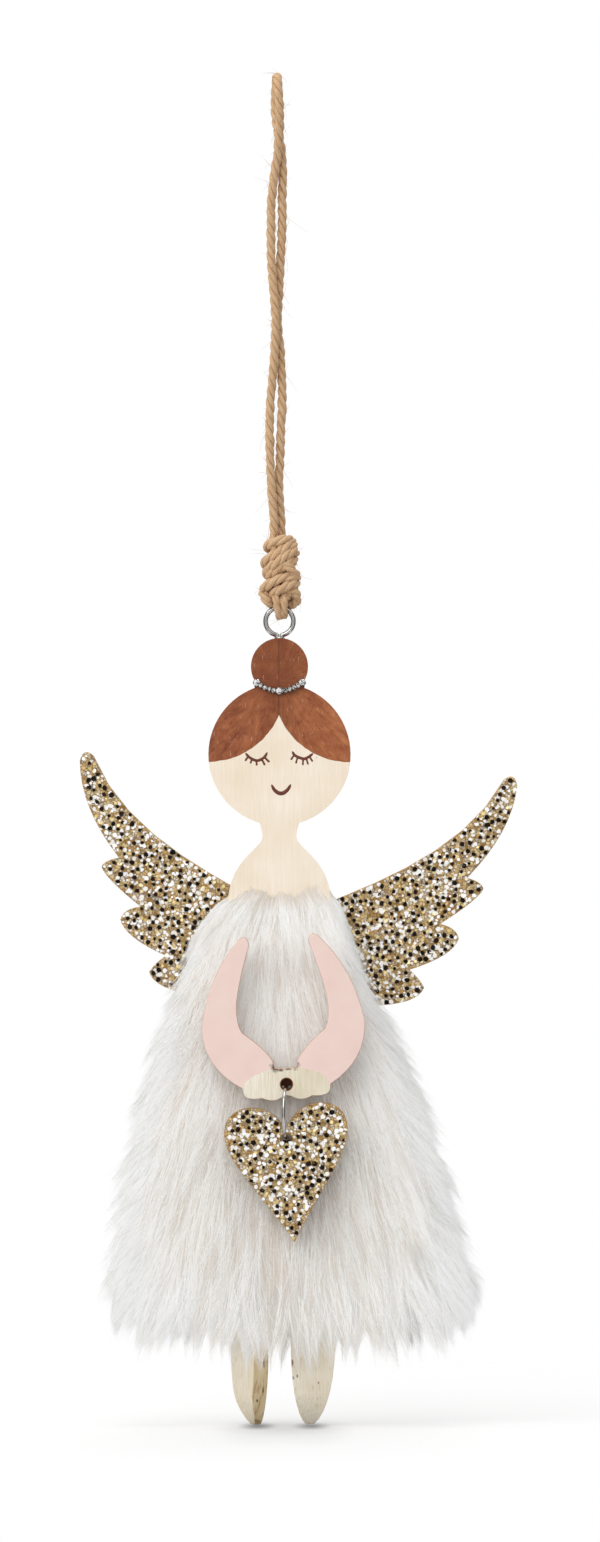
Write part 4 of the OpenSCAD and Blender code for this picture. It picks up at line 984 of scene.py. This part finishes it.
fur = {"locks": 1080, "neckLocks": 90, "hemLocks": 230, "spikes": 24, "tufts": 7, "strands": 7, "seed": 7,
       "length": (22.0, 32.0), "spikeLength": (10, 17), "thick": 0.075, "spread": 0.42,
       "fan": 0.008, "onTop": 0.16, "stray": 0.07, "hemPoints": 15, "hemLevel": 0.008, "hemPoint": 0.042,
       "sidePoints": 32, "sideBase": 0.14, "standing": (0.78, 1.26),
       "underArms": -14.4, "underHeart": -13.6, "wing": (1.7, 6.7),
       "pieces": 12, "shading": 0.06, "smooth": 0.36, "flat": 0.75, "lift": 0.4}
rng = np.random.default_rng(fur["seed"])
overWing = outlineOf("wing_panel", 0.5)
overArms, overHeart = outlineOf("arms_board", 1.5), outlineOf("heart_board", 8.5)

# locks, denser where the dress is wider, more along neckline and hem, and pointed ones that stand out of the outline
tries = rng.uniform(0, 0.87, fur["locks"] * 3)
tries = tries[rng.uniform(size=len(tries)) < halfWide(tries) / dress["hemHalf"]][:fur["locks"]]
lockT = np.concatenate([tries, rng.uniform(-0.02, 0.012, fur["neckLocks"]), rng.uniform(0.79, 0.88, fur["hemLocks"]),
                        rng.uniform(0.08, 0.96, fur["spikes"])])
locks = len(lockT)
allRound = rng.uniform(size=locks - fur["spikes"])
atSides = rng.integers(0, 2, fur["spikes"]) * 0.5 + rng.normal(0, 0.018, fur["spikes"])
lockQ = np.concatenate([allRound, atSides % 1])
lockX = np.abs(roundAt(lockQ)[0])
lockOut = np.clip((lockX - 0.6) / 0.35, 0, 1)
spike = np.arange(locks) >= locks - fur["spikes"]
lock = {"long": np.where(spike, rng.uniform(*fur["spikeLength"], locks),
                         rng.uniform(*fur["length"], locks) * np.clip(0.62 + lockT * 2, 0.62, 1)),
        "tip": np.where(spike, 1.0, rng.normal(0.88, 0.12, locks) - 0.62 * np.clip((lockX - 0.84) / 0.12, 0, 1)),
        "lean": rng.normal(0, 0.009, locks) + 0.007 * np.sin(lockQ * 61 + lockT * 19)
        + 0.005 * np.sin(lockQ * 137 - lockT * 31),
        "draw": np.where(spike, 0.0, rng.uniform(0.2, 0.6, locks))}

# tufts in each lock
ofLock = np.repeat(np.arange(locks), fur["tufts"])
tufts = len(ofLock)
around = 3.4 * (halfWide(np.clip(lockT, 0, 1)) + halfDeep(lockT))[ofLock]
tuftQ, tuftT = rng.normal(0, 2.0, tufts) / around, rng.normal(0, 2.4, tufts) / dress["tall"]
tuft = {"long": rng.uniform(0.85, 1.08, tufts) - 0.1 * np.abs(tuftQ * around / 2.0), "tip": rng.normal(0, 0.06, tufts),
        "lean": rng.normal(0, 0.005, tufts)}
onTop = rng.uniform(size=tufts) < fur["onTop"]  # these lie over the rest for most of their length
tuft["tip"] += np.where(spike[ofLock], rng.uniform(-0.5, 0.65, tufts) * np.clip(lockT[ofLock] / 0.5, 0.2, 1),
                        np.where(onTop, rng.uniform(0.14, 0.36, tufts), 0))

# strands in each tuft, a few of them stray
ofTuft = np.repeat(np.arange(tufts), fur["strands"])
mine, n = ofLock[ofTuft], len(ofTuft)
stray = rng.uniform(size=n) < fur["stray"]
ownQ = rng.normal(0, fur["spread"], n) / around[ofTuft] * np.where(stray, 3.2, 1)
ownT = rng.normal(0, 1.3, n) / dress["tall"]
draw = np.where(stray, 0.1, np.where(spike[mine], 0.96, np.clip(rng.normal(0.78, 0.12, n), 0, 0.97)))
long = lock["long"][mine] * tuft["long"][ofTuft] * rng.uniform(0.82, 1.06, n)
lean = lock["lean"][mine] + tuft["lean"][ofTuft] + rng.normal(0, 0.002, n) + np.where(stray, rng.normal(0, 0.01, n), 0)
tip = lock["tip"][mine] + tuft["tip"][ofTuft] + rng.normal(0, 0.05, n) + np.where(stray, rng.uniform(0, 0.4, n), 0)
tip = np.clip(tip, 0.25, 2.0)
rootT = lockT[mine] + tuftT[ofTuft] + ownT
rootQ = lockQ[mine] + tuftQ[ofTuft] + ownQ


def perTuft(spread):
    return rng.normal(0, spread, tufts)[ofTuft]


# none grows above the neckline
topT = (dress["top"] - curve("neckline", roundAt(rootQ)[0] * halfWide(np.clip(rootT, 0, 1)))) / dress["tall"]
rootT = np.where(rootT < topT, topT + perTuft(0.004) + np.abs(rng.normal(0, 0.006, n)), rootT)
lean -= fur["fan"] * (1 + 4 * lockOut[mine]) * np.sin(4 * math.pi * rootQ)  # brushed a little out to both sides
s = np.array([0, 0.18, 0.38, 0.6, 0.82, 1.0])[None]
wave, phase = rng.normal(0, 0.001, n), rng.uniform(0, 6.28, n)
q = rootQ[:, None] - (ownQ * draw)[:, None] * s ** 1.2 - (tuftQ[ofTuft] * lock["draw"][mine])[:, None] * s ** 1.4 \
    + lean[:, None] * s ** 2 + wave[:, None] * np.sin(phase[:, None] + 5 * s)

# the hem hangs in points: what ends there is drawn to the nearest one, longest in its middle
endX = roundAt(q[:, -1])[0]
sides = np.clip((np.abs(endX) - 0.8) / 0.15, 0, 1)
rootT -= sides * np.clip(rootT - 0.8, 0, 1) * 0.7  # the corners hang from a little higher up
behind = (q[:, -1] % 1 < 0.5).astype(int)
hemPoints = fur["hemPoints"]
cell = np.floor(endX * hemPoints).astype(int)
eachPoint, ofPoint = (2, 2 * hemPoints + 1), (behind, cell + hemPoints)
pointX = (cell + 0.5 + rng.uniform(-0.3, 0.3, eachPoint)[ofPoint]) / hemPoints
beside = np.abs((endX - pointX) * 2 * hemPoints)
lowest = curve("hemLine", endX) + rng.normal(0, fur["hemLevel"], eachPoint)[ofPoint]
lowest += fur["hemPoint"] * (0.5 - np.minimum(beside ** 1.2, 1))
lowest += perTuft(0.006)
lowest -= (0.07 * rng.uniform(size=tufts) ** 1.5)[ofTuft] * sides
lowest += rng.normal(0, 0.004, n)
lowest += np.where(rng.uniform(size=n) < 0.08, rng.uniform(0, 0.028, n), 0)  # a few hang out below
lowest -= 0.03 * behind * (np.abs(endX) < 0.97)  # the back is a little shorter
long = np.minimum(long, np.maximum(lowest - rootT, 0.03) * dress["tall"])
atHem = np.clip((rootT + long / dress["tall"] - 0.88) / 0.09, 0, 1)

# the outline is made of points too: a row down each side, front and back, and what ends there leans out to the nearest
edge = sides * ~spike[mine]
long *= 1 - 0.35 * edge * (1 - atHem)
column = behind + 2 * (endX > 0)
steps = np.cumsum(rng.uniform(0.6, 1.5, (4, fur["sidePoints"])), 1)
steps = np.concatenate([np.full((4, 1), -0.1), steps * (1.12 / steps[:, -1:])], 1)
standing = rng.uniform(*fur["standing"], (4, fur["sidePoints"])) * np.array([1, 0.6, 1, 0.6])[:, None]
endT = np.clip(rootT + long / dress["tall"], -0.09, 1.11)
row = np.array([np.searchsorted(steps[c], endT) for c in range(4)])[column, np.arange(n)]
share = (endT - steps[column, row - 1]) / (steps[column, row] - steps[column, row - 1])
outward = fur["sideBase"] + standing[column, row - 1] * share ** 1.3 + perTuft(0.1) + rng.normal(0, 0.04, n)
tip = tip * (1 - edge) + outward * edge
tip *= 1 - 0.45 * edge * np.clip((endT - 0.95) / 0.09, 0, 1)  # the corners are rounded
wisp = stray & (edge > 0.5) & (rng.uniform(size=n) < 0.1)  # loose hairs that lean out of the outline
tip, long = np.where(wisp, rng.uniform(0.6, 1.5, n), tip), np.where(wisp, long * 0.75, long)
rise = np.where(rootT < topT + 0.03, rng.uniform(0, 0.01, n), 0)
t = rootT[:, None] - (ownT * draw)[:, None] * s + (long / dress["tall"])[:, None] * s \
    - rise[:, None] * np.sin(math.pi * np.clip(s / 0.5, 0, 1))
bow = np.where(onTop[ofTuft], 0.45, 0.6) * (1 - edge) + 1.9 * edge
depth = tip[:, None] * s ** np.where(wisp | spike[mine], 1.25, bow)[:, None]
strand = onDress(t, q, depth)
strand[:, :, 0] += ((np.clip(pointX, -0.985, 0.985) - endX) * dress["hemHalf"] * 0.85 * atHem)[:, None] * s ** 2.5

# pressed back where something lies or swings over it, and none in the wing board
x, y, z = np.moveaxis(strand, 2, 0)
for over, front in ((overArms, fur["underArms"]), (overHeart, fur["underHeart"])):
    y[:] = np.where(over(x, z), np.maximum(y, front), y)
inWing = overWing(x, z) & (y > fur["wing"][0]) & (y < fur["wing"][1])
clear = ~inWing[:, 1:].any(1)

# fine fibre lets light through, so only a small share of it, in pieces of its own, darkens the rest
shading = (rng.uniform(size=n) < fur["shading"] * (1 - 0.6 * atHem)) & (lockOut[mine] < 0.9)
sector = np.where(shading, fur["pieces"] + (lockQ[mine] > 0.5), np.floor(lockQ[mine] * fur["pieces"]))
sector = sector.astype(int)[clear]
# painted light and shade: tufts are paler toward the sides and darker and warmer in the lower middle
u = 0.6 * rng.uniform(size=tufts)[ofTuft] + 0.35 * rng.uniform(size=n) - 0.04 + 0.12 * lockOut[mine] \
    + 0.3 * onTop[ofTuft] - 0.45 * ((1 - lockX) * np.clip(lockT / 0.4 - 1, 0, 1))[mine]
# painted light: at the sides and the hem many tufts take the greyer, cooler tones
greyer = rng.uniform(size=tufts)[ofTuft] < np.clip(0.85 * sides + (0.15 + 0.6 * lockX[mine]) * atHem, 0, 0.92)
u = (0.5 * np.clip(np.where(stray, 1, u), 0.01, 0.99) + 0.5 * greyer)[clear]

# each strand a fine three-sided hair with a point, lit partly as a hair and partly as the whole pile
strand, stray, q, t = strand[clear], stray[clear], q[clear], t[clear]
thick = fur["thick"] * rng.uniform(0.75, 1.2, len(strand)) * np.where(stray, 1.3, 1)
heading = unit(np.gradient(strand, axis=1))
side = unit(np.cross(heading, np.array([0.15, 1.0, 0.1])))
out = np.cross(side, heading)
x, y = roundAt(q)
surface = unit(np.stack([x * np.abs(x) / halfWide(t), y * np.abs(y) / halfDeep(t), np.full(t.shape, 0.006)], -1))
surface[:, :, 0] *= fur["flat"]
surface[:, :, 2] += fur["lift"]  # light that wanders through the pile comes mostly from above
surface = unit(surface)
taper = np.array([0.8, 1.0, 0.95, 0.75, 0.45])
rings, lit = [], []
for k in range(3):
    turn = 2 * math.pi * k / 3 + 0.5
    away = math.cos(turn) * side[:, :5] + math.sin(turn) * out[:, :5]
    rings.append(strand[:, :5] + away * (thick[:, None] * taper)[:, :, None])
    lit.append(away * (1 - fur["smooth"]) + surface[:, :5] * fur["smooth"])
strandVerts = np.concatenate([np.stack(rings, 2).reshape(len(strand), 15, 3), strand[:, 5:6]], 1)  # 16 points a strand
strandLit = unit(np.concatenate([np.stack(lit, 2).reshape(len(strand), 15, 3), surface[:, 5:6]], 1))
quads = ringFaces(5, 3)
strandFaces = [(0, 1, 2)] + [(one, three, two) for one, two, three, four in quads]
strandFaces += [(one, four, three) for one, two, three, four in quads]
strandFaces = np.array(strandFaces + [(12 + k, 15, 12 + (k + 1) % 3) for k in range(3)])
strandV = np.concatenate([np.repeat(s[0, :5], 3), [1.0]])
pile = []
for part in range(fur["pieces"] + 2):
    chosen = np.flatnonzero(sector == part)
    count = len(chosen)
    mesh = bpy.data.meshes.new("furPile_%d" % (part + 1))
    corners = (strandFaces[None] + (np.arange(count) * 16)[:, None, None]).reshape(-1).astype(np.int32)
    mesh.vertices.add(count * 16)
    mesh.vertices.foreach_set("co", (strandVerts[chosen].reshape(-1) * mm).astype(np.float32))
    mesh.loops.add(len(corners))
    mesh.loops.foreach_set("vertex_index", corners)
    mesh.polygons.add(len(corners) // 3)
    mesh.polygons.foreach_set("loop_start", np.arange(0, len(corners), 3, dtype=np.int32))
    mesh.update(calc_edges=True)
    places = np.stack([np.repeat(u[chosen], 16), np.tile(strandV, count)], 1)
    pile.append(finishPiece(mesh, "furPile_%d" % (part + 1), [furPile], "figure", True, places))
    mesh.normals_split_custom_set_from_vertices(strandLit[chosen].reshape(-1, 3))
    pile[-1].visible_shadow = pile[-1].visible_diffuse = part >= fur["pieces"]
print("fur brushed,", len(strand), "strands")

# studio: pale floor and surround, a wide soft lamp over the front, weaker ones beside
studio = {"floor": -376.35, "floorHalf": 0.5, "ambient": 0.55, "floorLift": 0.47, "toeShadows": [
    (-6.0, 0, 6.5, 22, 0.6), (9.0, 0, 6.5, 22, 0.55), (1.5, -4, 24, 50, 0.16),
    (-6.0, -30, 15, 75, 0.1), (9.0, -30, 15, 75, 0.1)]}


def seenRays(tree):
    # 1 for what the camera sees, also in reflections and through glass
    rays = addNode(tree, "ShaderNodeLightPath").outputs
    seen = addNode(tree, "ShaderNodeMath", {0: rays["Is Camera Ray"], 1: rays["Is Glossy Ray"]}, operation="MAXIMUM")
    return rays, addNode(tree, "ShaderNodeMath", {0: seen, 1: rays["Is Transmission Ray"]}, operation="MAXIMUM")


whiteFloor, tree, shader = newMaterial("whiteFloor")
tree.nodes.remove(shader)
rays, seen = seenRays(tree)
lift = addNode(tree, "ShaderNodeMath", {0: seen, 1: studio["floorLift"]}, operation="MULTIPLY")
# it throws back a little more light than it shows
tone = addNode(tree, "ShaderNodeMix", {0: rays["Is Diffuse Ray"], 6: "#b4b4b4", 7: "#d6d6d6"}, data_type="RGBA")
spot = addNode(tree, "ShaderNodeTexCoord").outputs["Object"]
# painted contact shadows: the floor's colour and glow are darkened in soft patches where the toes touch, under the
# skirt and in front of the feet
rest = None  # soft dark where the toes touch
for x, y, wide, deep, strength in studio["toeShadows"]:
    level = addNode(tree, "ShaderNodeMapping", {"Vector": spot, "Location": (x * mm, y * mm, 0),
                    "Scale": (wide * mm, deep * mm, 1)}, vector_type="TEXTURE")
    near = addNode(tree, "ShaderNodeVectorMath", {0: level}, operation="LENGTH")
    shadowDim = addNode(tree, "ShaderNodeMapRange", {"Value": near, "To Min": 1 - strength, "To Max": 1.0},
                  interpolation_type="SMOOTHSTEP")
    rest = shadowDim if rest is None else addNode(tree, "ShaderNodeMath", {0: rest, 1: shadowDim}, operation="MULTIPLY")
shaded = addNode(tree, "ShaderNodeMix", {0: rest, 6: "#000000", 7: tone}, data_type="RGBA")
paper = addNode(tree, "ShaderNodeBsdfDiffuse", {"Color": shaded})
lifted = addNode(tree, "ShaderNodeMath", {0: lift, 1: rest}, operation="MULTIPLY")
glow = addNode(tree, "ShaderNodeEmission", {"Color": (1, 1, 1, 1), "Strength": lifted})
both = addNode(tree, "ShaderNodeAddShader", {0: paper, 1: glow})
away = addNode(tree, "ShaderNodeVectorMath", {0: spot}, operation="LENGTH")
fade = addNode(tree, "ShaderNodeMapRange", {"Value": away, "From Min": 0.16, "From Max": 0.4},
               interpolation_type="SMOOTHSTEP")
surround = addNode(tree, "ShaderNodeBsdfTransparent")
ground = addNode(tree, "ShaderNodeMixShader", {0: fade, 1: both, 2: surround})
setInputs(tree.nodes["Material Output"], {"Surface": ground})
half = studio["floorHalf"]
corners = [(-half, -half, 0), (half, -half, 0), (half, half, 0), (-half, half, 0)]
floor = addPiece("studioFloor", corners, [(0, 1, 2, 3)], [whiteFloor])
floor.location.z = studio["floor"] * mm

world = bpy.data.worlds.new("studioAir")
scene.world = world
world.use_nodes = True
tree = world.node_tree
power = addNode(tree, "ShaderNodeMapRange", {"Value": seenRays(tree)[1], "To Min": studio["ambient"], "To Max": 1.0})
setInputs(tree.nodes["Background"], {"Color": (1, 1, 1, 1), "Strength": power})

# black cards all round, seen only in reflections, so that wire and foil have dark lines
cards = {"cardLeft": ((-0.9, -0.3, -0.2), (0, 1, 0), 0.55, 0.7), "cardRight": ((0.9, -0.3, -0.2), (0, 1, 0), 0.55, 0.7),
         "cardFront": ((0, -2.2, -0.2), (1, 0, 0), 0.3, 0.9), "cardBack": ((0, 1.1, -0.2), (1, 0, 0), 0.5, 0.6)}
blackCard = newMaterial("blackCard", Base_Color="#0a0a0a", Roughness=1.0)[0]
for name, (middle, across, wide, tall) in cards.items():
    m, a, u = Vector(middle), Vector(across) * wide, Vector((0, 0, 1)) * tall
    card = addPiece(name, [m - a - u, m + a - u, m + a + u, m - a + u], [(0, 1, 2, 3)], [blackCard])
    card.visible_camera = card.visible_diffuse = card.visible_shadow = card.visible_transmission = False

lamps = {"overFront": ((-0.5, -1.3, 0.9), 1.3, 11.7), "besideRight": ((1.4, -0.9, 0.4), 1.0, 2.5),
         "besideLeft": ((-1.4, -0.7, 0.25), 1.0, 9.6), "above": ((0, -0.12, 1.2), 0.6, 4.0),
         "behind": ((0.2, 1.5, 0.8), 1.6, 13.0)}
for name, (at, size, watts) in lamps.items():
    data = bpy.data.lights.new(name, "AREA")
    data.shape, data.size, data.energy = "SQUARE", size, watts
    lamp = bpy.data.objects.new(name, data)
    lamp.location = at
    lamp.rotation_euler = (Vector((0, 0, -0.2)) - Vector(at)).to_track_quat("-Z", "Y").to_euler()
    scene.collection.objects.link(lamp)
print("studio lit")
